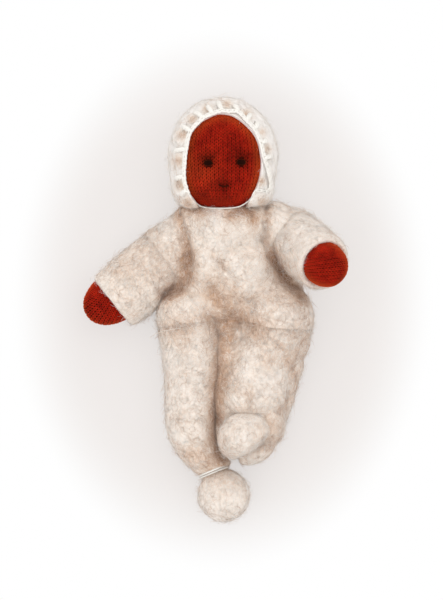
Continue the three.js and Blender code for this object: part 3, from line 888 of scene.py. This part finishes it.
def make_leg_right():
    hip, ankle = HIP["right"], ANKLE["right"]
    length = np.linalg.norm(ankle - hip)
    start = length - 1.5
    end = arc(start, RIGHT_LEG[-1][0], 0, 90, 16)
    end[:, 1] = start + (end[:, 1] - start) * 0.75
    profile = limb_profile(HIP_BALL["right"], RIGHT_LEG, end)
    points, faces = turned(evened(profile, 150), 130)
    t = np.clip(points[:, 1] / length, 0, 1)
    points[:, 0] += RIGHT_BOW * BOW_PEAK * t**3 * (1 - t)
    points[:, 2] *= between(1, 0.9, smooth(t))
    form = fluffed(placed((points, faces), hip, ankle - hip), 40, 0.9, past_root("right", "leg"))
    nodes = ("leg_cover_right", "leg_stuffing_right")
    wool("wool_leg_right", "leg_right", form, nodes, 41, keep=below_root("right", "leg"))


# The drawn-up leg in balls, as middles and radii: its shank, then its sides and lobes
LEFT_SHANK = (
    ((17.6, -9.0, 10.4), (11.2, 9.0, 10.0)),
    ((16.7, -17.0, 8.8), (10.0, 9.0, 8.4)),
    ((16.2, -21.0, 8.4), (9.4, 8.5, 8.1)),
    ((15.7, -25.0, 8.0), (8.7, 8.5, 7.8)),
    ((14.9, -29.0, 7.9), (7.9, 8.0, 7.7)),
    ((14.0, -33.0, 7.8), (7.0, 7.5, 7.6)),
    (at(255, 443, 7.8), (4.6, 4.8, 5.4)),
)
LEFT_LOBES = (
    (at(228, 392, 9.0), (5.0, 11.0, 7.8)),
    (at(230, 424, 7.0), (5.2, 9.0, 6.2)),
    (at(228, 356, 9.2), (4.9, 10.0, 7.8)),
    (at(229, 338, 9.2), (5.2, 9.0, 7.3)),
    ((15.0, -13.5, 12.0), (10.2, 8.0, 9.8)),
    (at(258, 374, 12.2), (10.2, 10.8, 10.2)),
    (at(255, 396, 13.6), (9.8, 7.4, 9.3)),
    (at(269, 420, 11.0), (5.2, 8.0, 9.2)),
)


def make_leg_left():
    forms = [
        ball(HIP["left"], HIP_BALL["left"]),
        *(ball(middle, radii) for middle, radii in LEFT_SHANK),
        tilted(at(257, 450, 9.4), (0.794, 0.607), (6.6, 3.6, 4.8)),
        *(ball(middle, radii) for middle, radii in LEFT_LOBES),
    ]
    form = fluffed(fused(forms, VOXEL, rounds=60), 50, 0.7, past_root("left", "leg"))
    nodes = ("leg_cover_left", "leg_stuffing_left")
    wool("wool_leg_left", "leg_left", form, nodes, 51, keep=below_root("left", "leg"))


ANKLE_BALL = 2.8
FOOT = {"right": at(224, 495.5, 8.2), "left": at(245, 436, 17.3)}  # middles of the ball feet
FOOT_RADIUS = 7.9
LEFT_FOOT_RADII, LEFT_FOOT_WAY = (8.3, 7.2, 7.7), (0.906, 0.423)


def make_foot_right():
    centre, ankle = FOOT["right"], ANKLE["right"]
    neck = ball(between(ankle, centre, 0.3), (4.2, 4.2, 3.9))
    forms = [ball(centre, FOOT_RADIUS), neck, ball(ankle, ANKLE_BALL)]
    form = fluffed(fused(forms, VOXEL, rounds=5), 60, 0.9)
    nodes = ("foot_right", "foot_stuffing_right")
    wool("wool_foot_right", "foot_right", form, nodes, 61)


# Places in the picture where the left foot's wool is gathered, and the level way toward them
GATHERS = ((240, 460), (246, 458), (252.5, 454.5), (259.5, 449), (265, 442.5), (271, 436))
GATHER_WAY = (0.607, -0.794)


def make_foot_left():
    """The ball foot that shows its gathered side."""
    centre, ankle = FOOT["left"], ANKLE["left"]
    neck = ball(between(ankle, centre, 0.35), (4.6, 4.6, 4.2))
    foot = tilted(centre, LEFT_FOOT_WAY, LEFT_FOOT_RADII)
    forms = [foot, neck, ball(ankle, ANKLE_BALL)]
    points, faces = fused(forms, VOXEL, rounds=5)
    toward = unit(GATHER_WAY)
    past = (points[:, :2] - centre[:2]) @ toward - 3.0
    high = smooth((points[:, 2] - 11.0) / 4.0)
    points[:, :2] -= np.outer(np.maximum(past, 0) * 0.55 * high, toward)
    normals = normals_of(points, faces)
    for place in GATHERS:
        near = bell(np.linalg.norm(points[:, :2] - spot(*place), axis=1), 0.7)
        points = points - normals * (0.6 * near * smooth(normals[:, 2] * 2 + 0.6))[:, None]

    # Painted shade in the notches of the gathers, with a little of the folds' painted shade.
    def tan_shade(places):
        away = [np.linalg.norm(places[:, :2] - spot(*place), axis=1) for place in GATHERS]
        least = np.min(away, axis=0)
        return np.maximum(1.5 * bell(least, 0.9), 0.3 * tan_shade_at(places))

    form = fluffed((points, faces), 70, 0.6)
    nodes = ("foot_left", "foot_stuffing_left")
    wool("wool_foot_left", "foot_left", form, nodes, 71, tan_shade=tan_shade)


# Long loose hairs: name, body, radius, tone and line
STRAY_HAIRS = (
    (
        "stray_hair_leg", "leg_right", 0.09, 1,
        (at(149, 338, 4.0), at(158, 333, 11.5), at(168, 330, 18.0), at(182, 328, 20.4)),
    ),
    (
        "stray_hair_belly", "torso", 0.04, 0,
        (at(247, 305, 23.0), at(258, 311, 23.6), at(266, 311, 23.8), at(273, 308, 23.6)),
    ),
)


def make_stray_hairs():
    """Long loose hairs of the wool, which lie beside the right thigh and over the belly."""
    for name, body, radius, tone, places in STRAY_HAIRS:
        line = curved(places, 40)[None]
        ups = np.broadcast_to((0.0, 0.0, 1.0), line.shape)
        piece(name, body, tubes(line, radius, ups, 5), [HAIRS[tone]])


# Head

HEAD_HALF = np.array([14.5, 15.8, 14.2])
CHIN = 4.2  # how full the head is toward the chin, where 2 is round
HOOD_LIFT = 1.9  # of the hood over the head
HOOD_HEM = -15.4  # from the head's middle
HOOD_PALE = -0.9  # how white the hood is away from its brownish places


def ring_at(height):
    """The head's share of its full width at a height from -1 to 1, fuller toward the chin."""
    power = np.where(height < 0, CHIN, 2.0)
    return np.sqrt(np.maximum(1 - np.abs(height) ** power, 0.0))


def chin_taper(height):
    return 1 - 0.1 * smooth(-height)


def hood_width(height):
    """Keeps the hood wide down to its hem."""
    ring = np.sqrt(np.maximum(1 - height**2, 1e-6))
    return between(1, ring ** (0.3 - 1), smooth(-height * 1.5))


def on_head(x, y, margin):
    """Points over the front of the head and their outward ways, from places about its middle."""
    wide, high, thick = (half + margin for half in HEAD_HALF)
    height = y / high
    taper = chin_taper(height)
    deep = np.sqrt(np.maximum(ring_at(height) ** 2 - (x / wide / taper) ** 2, 0.0))
    place = np.stack((x, y, thick * taper * deep), axis=-1)
    power = np.where(height < 0, CHIN, 2.0)
    slope = power / 2 * np.sign(height) * np.abs(height) ** (power - 1) / high
    return place + HEAD, unit(np.stack((x / wide**2, slope, place[..., 2] / thick**2), axis=-1))


# Outline of the face opening in the picture, clockwise from the crown
OPENING = (
    (226, 116.5), (233, 118.3), (243.0, 125.3), (252.5, 135.5), (257, 145), (259, 154),
    (260, 165), (258.8, 175), (256, 185.5), (250.5, 196.5), (243.5, 204.3), (232, 208),
    (216, 208), (201.5, 205.5), (195.5, 200), (188.3, 188.3), (185.7, 176.5), (186.8, 165),
    (187.5, 151.5), (191.8, 136), (200, 125.5), (208.8, 119.8), (218.5, 116),
)

# Brownish places of the hood in the picture, with their reach and strength: painted shade at the
# hem and under the edging's ring, over the wool's own flecks
HOOD_TAN_SHADE = (
    ((207.5, 110), 1.7, 0.9), ((227, 105), 1.6, 0.85), ((246.5, 115), 1.7, 0.8),
    ((193, 120), 1.6, 0.8), ((182.5, 136), 2.0, 0.9), ((178, 162), 2.1, 0.85),
    ((180, 186), 1.8, 0.8), ((188, 204), 2.2, 1.0), ((200, 209), 2.2, 1.0),
    ((261, 182), 1.4, 1.1), ((267, 150), 1.4, 0.5), ((262, 133), 1.3, 0.4), ((262, 203), 2.4, 0.5),
    ((225, 210), 2.0, 0.6), ((246, 208), 2.2, 0.9),
)


def hood_tan_shade(places):
    """How brownish the hood is with painted shade, less than 0 where it is whiter than the suit."""
    tan_shade = np.full(len(places), HOOD_PALE)
    for place, reach, strength in HOOD_TAN_SHADE:
        away = np.linalg.norm(places[:, :2] - spot(*place), axis=1)
        tan_shade = np.maximum(tan_shade, (strength - HOOD_PALE) * bell(away, reach) + HOOD_PALE)
    return tan_shade


def opening_line(count, grow=0.0):
    """The opening's outline about the head's middle, grown outward."""
    line = np.array([spot(*point) for point in OPENING]) - HEAD[:2]
    middle = line.mean(0)
    away = line - middle
    line = middle + away * (1 + grow / np.linalg.norm(away, axis=1))[:, None]
    return closed_curve(line, count + 1)[:-1]


def inside_opening(places):
    """How far places about the head's middle lie inside the opening, less than 0 outside."""
    line = opening_line(160)
    middle = line.mean(0)
    angle = np.arctan2(*(line - middle).T[::-1])
    order = np.argsort(angle)
    reach = np.linalg.norm(line - middle, axis=1)[order]
    off = places - middle
    limit = np.interp(np.arctan2(off[:, 1], off[:, 0]), angle[order], reach, period=2 * math.pi)
    return limit - np.linalg.norm(off, axis=1)


def make_hood():
    """Wool round the head, sunk under the face inside the opening."""
    points, faces = turned(arc(0, 1, -90, 90, 170), 230)
    height = points[:, 1].copy()
    wide = hood_width(height)
    half = HEAD_HALF + HOOD_LIFT
    front = points[:, 2] > 0
    full = np.where(height < 0, ring_at(height) / np.sqrt(np.maximum(1 - height**2, 1e-3)), 1)
    shape = np.where(front, chin_taper(height) * full, wide)
    points = points * half * np.column_stack((wide, np.ones(len(wide)), shape))
    hem = HOOD_HEM + 0.6 * lumps(points + HEAD, 5.0, 83)
    ease = 1.2
    points[:, 1] = hem + ease * np.log1p(np.exp((points[:, 1] - hem) / ease))
    inside = np.where(front, inside_opening(points[:, :2]), -9)
    chin = smooth((-11 - points[:, 1]) / 2.5) * smooth((8.5 - np.abs(points[:, 0])) / 3)
    sunk = smooth(inside / 1.0 + 0.6 + 1.4 * chin)
    inner, _ = on_head(points[:, 0], points[:, 1], -1.4)
    points = points + HEAD
    points[:, 2] = between(points[:, 2], np.minimum(points[:, 2], inner[:, 2]), sunk)

    def outside(places):
        depth = inside_opening(places[:, :2] - HEAD[:2])
        return 1 - smooth(np.where(places[:, 2] > HEAD[2], depth, -9) / 1.5 + 1)

    form = fluffed((points, faces), 80, 0.8, outside)
    wool(
        "wool_hood", "head", form, ("hood",), 81, tan_shade=hood_tan_shade,
        keep=lambda places: outside(places) > 0.55, thick=0.6,
    )


# Between the legs, along the picture: what bridges them, and the line that its hairs follow
LEG_BRIDGE = ((222, 352), (220, 372), (218, 394), (217, 416), (216, 434))
LEG_GAP = ((226, 335), (220, 378), (217, 410), (216, 440))
CROTCH = (4, -5)


def make_seam_hairs():
    """Hairs that lie over the seams of the suit, so that its wool reads as one."""
    hem = HOOD_HEM + HEAD[1]

    def near_seams(places):
        x, y, z = places.T
        aside = np.abs(x - HEAD[0])
        near = (np.abs(y - hem) < 1.8) & (z > 14) & (aside > 8) & (aside < 14)
        near |= (np.abs(y - CROTCH[1]) < 5) & (np.abs(x - CROTCH[0]) < 6) & (z > 10)
        for side in SIDES:
            for part in ("arm", "leg"):
                root, way = limb_way(side, part)
                off = places - root
                close = np.linalg.norm(off, axis=1) < 14
                near |= (np.abs(off @ way - 1) < 2.2) & (z > 5) & close
        return near

    names = ("body", "hood", "sleeve_right", "sleeve_left", "leg_right", "leg_left")
    forms = [suit[f"wool_{name}"] for name in names]
    forms += [ball(at(*place, 10.6), (2.4, 5.0, 3.6)) for place in LEG_BRIDGE]
    skin = fused(forms, VOXEL, rounds=8)
    fleece("seam_hairs", "torso", skin, 3.0, 301, near_seams)

    def between_legs(places):
        return (distance_to(LEG_GAP, places[:, :2]) < 1.5) & (places[:, 2] > 8)

    fleece("seam_hairs_legs", "leg_right", skin, 6.0, 302, between_legs)


def make_face():
    """The stuffed head in its skin, with the neck."""
    lay = np.radians(np.linspace(90, -84, 70))
    height = np.sin(lay)
    ring = ring_at(height) * chin_taper(height)
    profile = np.vstack((np.column_stack((ring, height)), [(0.3, -1.04), (0.3, -1.2), (0, -1.28)]))
    points, faces = turned(profile, 100)
    points = points * (HEAD_HALF - 0.35)
    # Its dark jersey is painted shade between the knitted loops.
    made = piece("face_ball", "head", (points + HEAD, facing_out(points, faces)), [SHADED_JERSEY])
    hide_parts("face_skin", "head_core")


STITCH_STEPS = 12
LOOP_LEAN, LOOP_HEIGHT = 0.27, 0.78  # of a knitted loop: how it bulges, its share of a course


def knitted(surface, wales, courses, width, height, yarn, depth, seed):
    """Rows of yarn loops over a surface, with painted shade where each point lies deep and painted
    rim light where the surface turns sideways.
    """
    t = np.linspace(0, 2 * math.pi, STITCH_STEPS, endpoint=False)
    loop = t / (2 * math.pi) + LOOP_LEAN * np.sin(2 * t) + 0.04 * np.sin(t)
    across = np.concatenate([k + loop for k in range(wales)])
    along = np.tile(LOOP_HEIGHT * np.cos(t), wales)
    out = np.tile(-depth * np.cos(2 * t), wales)
    feet, ups = [], []
    for c in range(courses):
        place, normal = surface(across * width, (c + 0.5 + along) * height)
        feet.append(place)
        ups.append(normal)
    feet, ups = np.array(feet), np.array(ups)
    flat = feet.reshape(-1, 3)
    stray = np.column_stack([lumps(flat, 1.3, seed + i) for i in range(3)]).reshape(feet.shape)
    feet = feet + 0.35 * yarn * stray
    sides = 5
    made = tubes(feet + ups * out[:, None], yarn, ups, sides)
    points = made[0].reshape(courses, -1, 3)

    def to_rings(values):
        middle = np.repeat(values[:, 1:-1], sides, axis=1)
        return np.concatenate((values[:, :1], middle, values[:, -1:]), axis=1)

    rise = np.sum((points - to_rings(feet)) * to_rings(ups), axis=2).ravel()
    bend = to_rings(np.broadcast_to(np.tile(np.cos(t) ** 2, wales), feet.shape[:2])).ravel()
    # Painted shade: darker where the yarn lies deep and at the heads and feet of the loops.
    shade = smooth(0.5 - rise / (depth + yarn) * 0.8) + 0.45 * bend - 0.1
    shade = np.clip(shade + 0.25 * lumps(made[0], 0.9, seed), 0, 1) * 0.95
    # Painted rim light where the surface faces sideways.
    return made, {"shade": shade, "painted_light": smooth(0.85 - to_rings(ups)[:, :, 2].ravel() * 1.25)}


def head_height(along):
    """The head's height at a length along its front from its middle height, upward."""
    height = np.linspace(-1, 1, 800)
    path = np.column_stack((ring_at(height) * HEAD_HALF[2], height * HEAD_HALF[1]))
    length = lengths_along(path)
    length -= np.interp(0, path[:, 1], length)
    return np.interp(along, length, path[:, 1])


def dent(places, spots):
    """How far the knitting is pulled in at the features."""
    depth = np.zeros(len(places))
    for centre, radius, amount in spots:
        away = np.linalg.norm(places - centre, axis=1)
        depth += amount * bell(away, radius)
    return depth


EYES = [spot(208.2, 163.8), spot(241.1, 163)]
EYE_HALF, EYE_PITCH = 1.5, 0.29
MOUTH = [spot(218.5, 185.6), spot(224.5, 186.7), spot(229.8, 185.7)]


def face_surface(across, along):
    """Meridians and parallels of the head, from its middle line and its middle height."""
    y = head_height(along)
    ring = ring_at(y / HEAD_HALF[1]) * chin_taper(y / HEAD_HALF[1])
    x = HEAD_HALF[0] * ring * np.sin(np.clip(across / HEAD_HALF[0], -1.5, 1.5))
    place, normal = on_head(x, y, 0)
    pulls = [(EYES[0], 2.1, 1.1), (EYES[1], 2.1, 1.1), (MOUTH[1], 1.6, 0.5)]
    return place - normal * dent(place[:, :2], pulls)[:, None], normal


def make_face_knit():
    wales, courses = 26, 42
    width, height, low = 1.3, 1.0, -26.3
    made, marks = knitted(
        lambda across, along: face_surface(across - wales * width / 2, along + low),
        wales, courses, width, height, 0.26, 0.24, 90,
    )
    front = made[0][:, :2]
    # Painted shade round the eyes and the mouth and at the chin.
    hollow_shade = [(spot(207.5, 160), 2.9, 0.6), (spot(242, 159), 2.9, 0.6), (MOUTH[1], 2.0, 0.4)]
    hollow_shade += [(spot(204, 200), 3.5, 0.3), (spot(224, 204), 5.0, 0.25)]
    marks["shade"] = np.clip(marks["shade"] + dent(front, hollow_shade), 0, 1)
    # Painted light: orange along the rim of the opening and a lit patch on the left of the face.
    lit_rim = bell(np.maximum(inside_opening(front - HEAD[:2]), 0), 1.6)
    lit = bell(np.linalg.norm(front - spot(203, 172), axis=1), 4.5)
    above_chin = smooth((front[:, 1] - spot(0, 203)[1]) / 5)
    marks["painted_light"] = np.clip(0.75 * lit_rim * above_chin + 0.3 * lit, 0, 1)
    piece("face_knit", "head", made, [JERSEY], marks=marks)
    yarn_fuzz(
        "face_fuzz", "head", made, 2600, 95,
        lambda places: inside_opening(places[:, :2] - HEAD[:2]) > 0,
    )


def make_features():
    """The eyes in short straight stitches and the mouth in one thread of two plies."""
    steps = 9
    for name, centre in zip(("eye_right", "eye_left"), EYES):
        strands, ups = [], []
        for row in range(-2, 3):
            reach = EYE_HALF * math.sqrt(1 - (row / 2.9) ** 2)
            x = centre[0] + np.linspace(-reach, reach, steps)
            y = np.full(steps, centre[1] + row * EYE_PITCH)
            place, normal = on_head(x - HEAD[0], y - HEAD[1], 0.0)
            bow = 0.05 + 0.25 * np.sin(np.linspace(0, math.pi, steps))
            strands.append(place + normal * bow[:, None])
            ups.append(normal)
        form = tubes(np.array(strands), 0.24, np.array(ups), 6)
        made = piece(f"{name}_stitches", "head", form, [DARK])
        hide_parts(name)
    line = curved(MOUTH, 15)
    place, normal = on_head(line[:, 0] - HEAD[0], line[:, 1] - HEAD[1], 0.0)
    bow = 0.02 + 0.2 * np.sin(np.linspace(0, math.pi, 15))
    form = plied(place + normal * bow[:, None], 0.3, 2, 1.1, normal)
    made = piece("mouth_thread", "head", form, [LIPS])
    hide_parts("mouth_stitch")


# Hands: radii ahead, aside and up, how far along the arm, which way, and how their ribs turn
HAND_RADII = {"right": np.array([10.9, 7.3, 6.4]), "left": np.array([9.0, 6.4, 6.3])}
HAND_ROOT = {"right": 17.6, "left": 18.8}
HAND_WAY = {"right": heading(212, 0), "left": ARM_WAY["left"]}
HAND_WALES = {"right": 58, "left": 8}
HAND_POWER = 2.15  # 2 gives a round hand, more a fuller one
WRIST_BACK, WRIST_RADIUS = 4.6, 3.4


def along_arm(side, distance):
    """A place inside the sleeve, half as far aside as its mouth hangs."""
    return SHOULDER[side] + ARM_WAY[side] * distance + droop(side) * 0.5


def hand_point(side, way, inset=0.0):
    """The hand's surface in a direction from the middle of its cuff, and the outward direction."""
    ahead = HAND_WAY[side]
    aside = unit(np.cross(ahead, (0, 0, 1)))
    basis = np.array((ahead, aside, np.cross(aside, ahead)))
    local = way @ basis.T
    radii = HAND_RADII[side] - inset + np.where(local[:, :1] < 0, [-5.0, 0, 0], 0)
    share = np.abs(local / radii)
    size = np.sum(share**HAND_POWER, axis=1) ** (-1 / HAND_POWER)
    slope = np.sign(local) * share ** (HAND_POWER - 1) / radii
    return along_arm(side, HAND_ROOT[side]) + way * size[:, None], unit(slope @ basis)


# Places of the edging's stitches in the picture, from the ring outward
STITCHES = (
    ((221.5, 111.5), (217, 101)), ((203, 118.5), (193.5, 111.5)), ((191, 132), (181.5, 126)),
    ((186, 150), (173.5, 151.5)), ((184, 177), (175, 179)), ((237, 112.5), (234.5, 105.5)),
    ((246, 121), (251, 114.5)), ((254.5, 129.5), (258, 122.5)), ((261, 143), (267, 140.5)),
    ((264, 158), (271, 157)), ((187, 190), (181, 196)), ((212, 114), (207, 106)),
)
# Line of the edging's ring in the picture
RING = (
    (228, 112), (238, 112.5), (246.5, 121), (254.5, 130), (260.5, 143), (264, 158), (268.5, 172),
    (270.5, 185), (266.5, 191.5), (256, 191.5), (250, 200), (240, 206.5), (228, 208.5),
    (212, 208.5), (200, 206), (191, 197.5), (185.5, 186), (184, 176), (184.5, 164), (186, 150.5),
    (190.5, 132.5), (203, 119), (212, 114.5), (221.5, 111.5),
)


RING_LOOPS = 62
RING_YARN = 0.35
SPOKE_YARN = 0.74


def make_edging():
    """A chain of yarn loops round the opening, with plied stitches back over the hood."""
    ring = np.array([spot(*point) for point in RING]) - HEAD[:2]
    around = closed_curve(ring, 420)
    margin = 1.0 + 1.6 * smooth((around[:, 1] + 14.5) / 3)
    place, normal = on_head(around[:, 0], around[:, 1], margin)
    thin = smooth((around[:, 1] + 12.0) / 3.0)
    forms = []
    ends = np.linspace(0, len(place) - 1, RING_LOOPS + 1).astype(int)
    ahead = unit(np.gradient(place, axis=0))
    aside = np.cross(normal, ahead)
    t = np.linspace(0, 2 * math.pi, 15)
    for a, b in zip(ends[:-1], ends[1:]):
        middle = (a + b) // 2
        size = 0.35 + 0.65 * thin[middle]
        reach = np.linalg.norm(place[b] - place[a])
        loop = (
            place[middle]
            + np.outer(np.cos(t) * reach * 0.85, ahead[middle])
            + np.outer(np.sin(t) * 0.42 * size * (1 - 0.35 * np.cos(t)), aside[middle])
            + np.outer(0.22 * size * np.cos(t), normal[middle])
        )
        ups = np.broadcast_to(normal[middle], (1, 15, 3))
        forms.append(tubes(loop[None], RING_YARN * size, ups, 6))
    for inner, outer in STITCHES:
        line = np.array([spot(*inner), spot(*outer)]) - HEAD[:2]
        t = np.linspace(0, 1, 16)[:, None]
        flat = line[0] + (line[1] - line[0]) * t
        place, normal = on_head(flat[:, 0], flat[:, 1], 2.55)
        place = place + normal * (0.4 * np.sin(math.pi * t) - 0.9 * t**4)
        forms.append(plied(place, SPOKE_YARN, 3, 3.2, normal))
    made = piece("crochet_edging", "head", joined(forms), [COTTON])
    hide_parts("hood_edging")


def make_hand(side):
    points, faces = ball((0, 0, 0), 1, 50, 60)
    points, _ = hand_point(side, unit(points), 0.35)
    wrist = along_arm(side, HAND_ROOT[side] - WRIST_BACK)
    skin = fused([(points, faces), ball(wrist, WRIST_RADIUS)], 0.35, rounds=4)
    # Its dark jersey is painted shade between the knitted loops.
    made = piece(f"hand_ball_{side}", f"arm_{side}", skin, [SHADED_JERSEY])
    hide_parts(f"hand_{side}", f"hand_stuffing_{side}")

    wale = heading(HAND_WALES[side], 0)
    axis = np.array([-wale[1], wale[0], 0.0])
    wales, courses = 23, 56
    width, height = 0.95 / 7, 2 * math.pi / courses

    def surface(across, along):
        lay = across - wales * width / 2
        round_ = np.cos(lay)[:, None]
        level = np.sin(lay)[:, None] * axis
        way = level + round_ * (np.cos(along)[:, None] * [0, 0, 1] + np.sin(along)[:, None] * wale)
        return hand_point(side, way)

    knit, marks = knitted(surface, wales, courses, width, height, 0.2, 0.15, 97)
    # Its marks carry painted shade between the loops and painted orange rim light at the hand's
    # sides.
    piece(f"hand_knit_{side}", f"arm_{side}", knit, [JERSEY], marks=marks)
    clear = SLEEVE_LENGTH[side] + 0.3

    def past_cuff(places):
        return (places - SHOULDER[side]) @ ARM_WAY[side] > clear

    yarn_fuzz(f"hand_fuzz_{side}", f"arm_{side}", knit, 1600, 98, past_cuff)


SEAM_TURN = math.radians(138)  # place of a seam's thread on a limb's ball, from the limb's way
SEAM_DEPTH = 0.5  # of that thread under the ball's own skin
NECK_WINDING, WRIST_WINDING = 4.9, 3.6  # radii
WRIST_PLACE = 14.9  # along the arm


def tie(name, body, place, way, radius, loops, pitch=1.0, thread=0.3):
    """Thread wound round a direction."""
    t = np.linspace(0, 1, int(48 * loops))
    angle = 2 * math.pi * loops * t
    rise = pitch * loops * (t - 0.5)
    line = np.column_stack((radius * np.cos(angle), rise, radius * np.sin(angle)))
    ups = unit(line * [1, 0, 1])
    points, faces = plied(line, thread, 2, 1.2, ups)
    form = placed((points, faces), place, way)
    made = piece(f"{name}_thread", body, form, [COTTON])
    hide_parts(name)


def make_ties():
    tie("neck_tie", "neck", NECK, (0, 1, 0), NECK_WINDING, 2)
    for side in SIDES:
        way = ARM_WAY[side]
        place = SHOULDER[side] + way * WRIST_PLACE
        tie(f"wrist_tie_{side}", f"arm_{side}", place, way, WRIST_WINDING, 2)
        seams = (("arm", "shoulder", ARM_BALL[side]), ("leg", "hip", HIP_BALL[side]))
        for part, joint, radius in seams:
            root, way = limb_way(side, part)
            shell = radius - SEAM_DEPTH
            place = root + way * shell * math.cos(SEAM_TURN)
            ring = shell * math.sin(SEAM_TURN)
            tie(f"{joint}_thread_{side}", f"{joint}_{side}", place, way, ring, 1, 0)
    way = unit(FOOT["right"] - ANKLE["right"])
    tie("ankle_tie_right", "foot_right", ANKLE["right"] + way * 2.2, way, 4.5, 1.75, 0.7, 0.36)
    way = unit(FOOT["left"] - ANKLE["left"])
    tie("ankle_tie_left", "foot_left", ANKLE["left"] + way * 1.2, way, 3.1, 1.75, 0.6, 0.3)


make_body()
for side in SIDES:
    make_sleeve(side)
    make_hand(side)
make_leg_right()
make_leg_left()
make_foot_right()
make_foot_left()
make_stray_hairs()
make_hood()
make_seam_hairs()
make_face()
make_face_knit()
make_features()
make_edging()
make_ties()

# Floor, lights and camera

FLOOR_TONE = linear((228, 224, 222))
FLOOR_GLOW = 0.7  # the least share of plain light in what the viewer sees of it
FLOOR_SIZE = 1.2
FADE_REACH = (0.065, 0.084)  # half width and half height of the cloth before it fades


def make_floor():
    """A pale cloth that fades to white away from the doll and keeps its soft shadow."""
    f = Finish("backdrop", Roughness=1.0, Specular_IOR_Level=0.0, Base_Color=FLOOR_TONE)
    across = f.node("SeparateXYZ", inputs={0: f.place()})
    x = Value(f, across.socket.node.outputs[0])
    y = Value(f, across.socket.node.outputs[1])
    middle = spot(222, 300) * MM
    x, y = (x - float(middle[0])) / FADE_REACH[0], (y - float(middle[1])) / FADE_REACH[1]
    fade = f.node(
        "MapRange", {"interpolation_type": "SMOOTHSTEP"}, {0: x * x + y * y, 1: 0.40, 2: 0.98}
    )
    rays = f.node("LightPath")
    ray = rays.socket.node.outputs
    seen = Value(f, ray["Is Camera Ray"])
    for kind in ("Is Glossy Ray", "Is Transmission Ray"):
        seen = f.node("Math", {"operation": "MAXIMUM"}, {0: seen, 1: Value(f, ray[kind])})
    pale = f.mix(fade, linear((241, 237, 235)), (1, 1, 1, 1))
    light = f.node("Emission", inputs={"Color": pale, "Strength": 1.0})
    surface = Value(f, f.shader.outputs[0])
    share = fade * (1 - FLOOR_GLOW) + FLOOR_GLOW
    both = f.node("MixShader", inputs={0: share * seen, 1: surface, 2: light})
    f.feed(both, f.tree.nodes["Material Output"].inputs[0])
    size = FLOOR_SIZE
    mesh = bpy.data.meshes.new("backdrop")
    corners = [(-size, -size, 0), (size, -size, 0), (size, size, 0), (-size, size, 0)]
    mesh.from_pydata(corners, [], [(0, 1, 2, 3)])
    mesh.materials.append(f.material)
    floor = bpy.data.objects.new("backdrop", mesh)
    bpy.context.scene.collection.objects.link(floor)


def lamp(name, place, size, power):
    """A round soft lamp that shines on the doll."""
    light = bpy.data.lights.new(name, "AREA")
    light.shape, light.size, light.energy = "DISK", size, power
    made = bpy.data.objects.new(name, light)
    made.location = place
    made.rotation_mode = "QUATERNION"
    made.rotation_quaternion = (-Vector(place)).to_track_quat("-Z", "Y")
    bpy.context.scene.collection.objects.link(made)


make_floor()
lamp("key", (0.25, 0.35, 0.9), 1.2, 3.3)
lamp("fill", (-0.5, -0.2, 0.7), 1.0, 1.6)

world = bpy.data.worlds.new("sky")
world.use_nodes = True
background = world.node_tree.nodes["Background"]
background.inputs["Color"].default_value = (1.0, 0.99, 0.98, 1)
background.inputs["Strength"].default_value = 0.8
bpy.context.scene.world = world

CAMERA_HEIGHT = 3000.0
MIDDLE_HEIGHT = 12.0
PICTURE_LENGTH = 600  # pixels, along the doll
camera = bpy.data.cameras.new("camera")
camera.sensor_width = 36
camera.lens = camera.sensor_width * CAMERA_HEIGHT / (PICTURE_LENGTH * PIXEL)
camera.clip_start, camera.clip_end = 0.01, 10
viewer = bpy.data.objects.new("camera", camera)
viewer.location = Vector((*spot(221.5, 300), CAMERA_HEIGHT + MIDDLE_HEIGHT)) * MM
bpy.context.scene.collection.objects.link(viewer)
bpy.context.scene.camera = viewer
bpy.context.scene.view_settings.view_transform = "Standard"
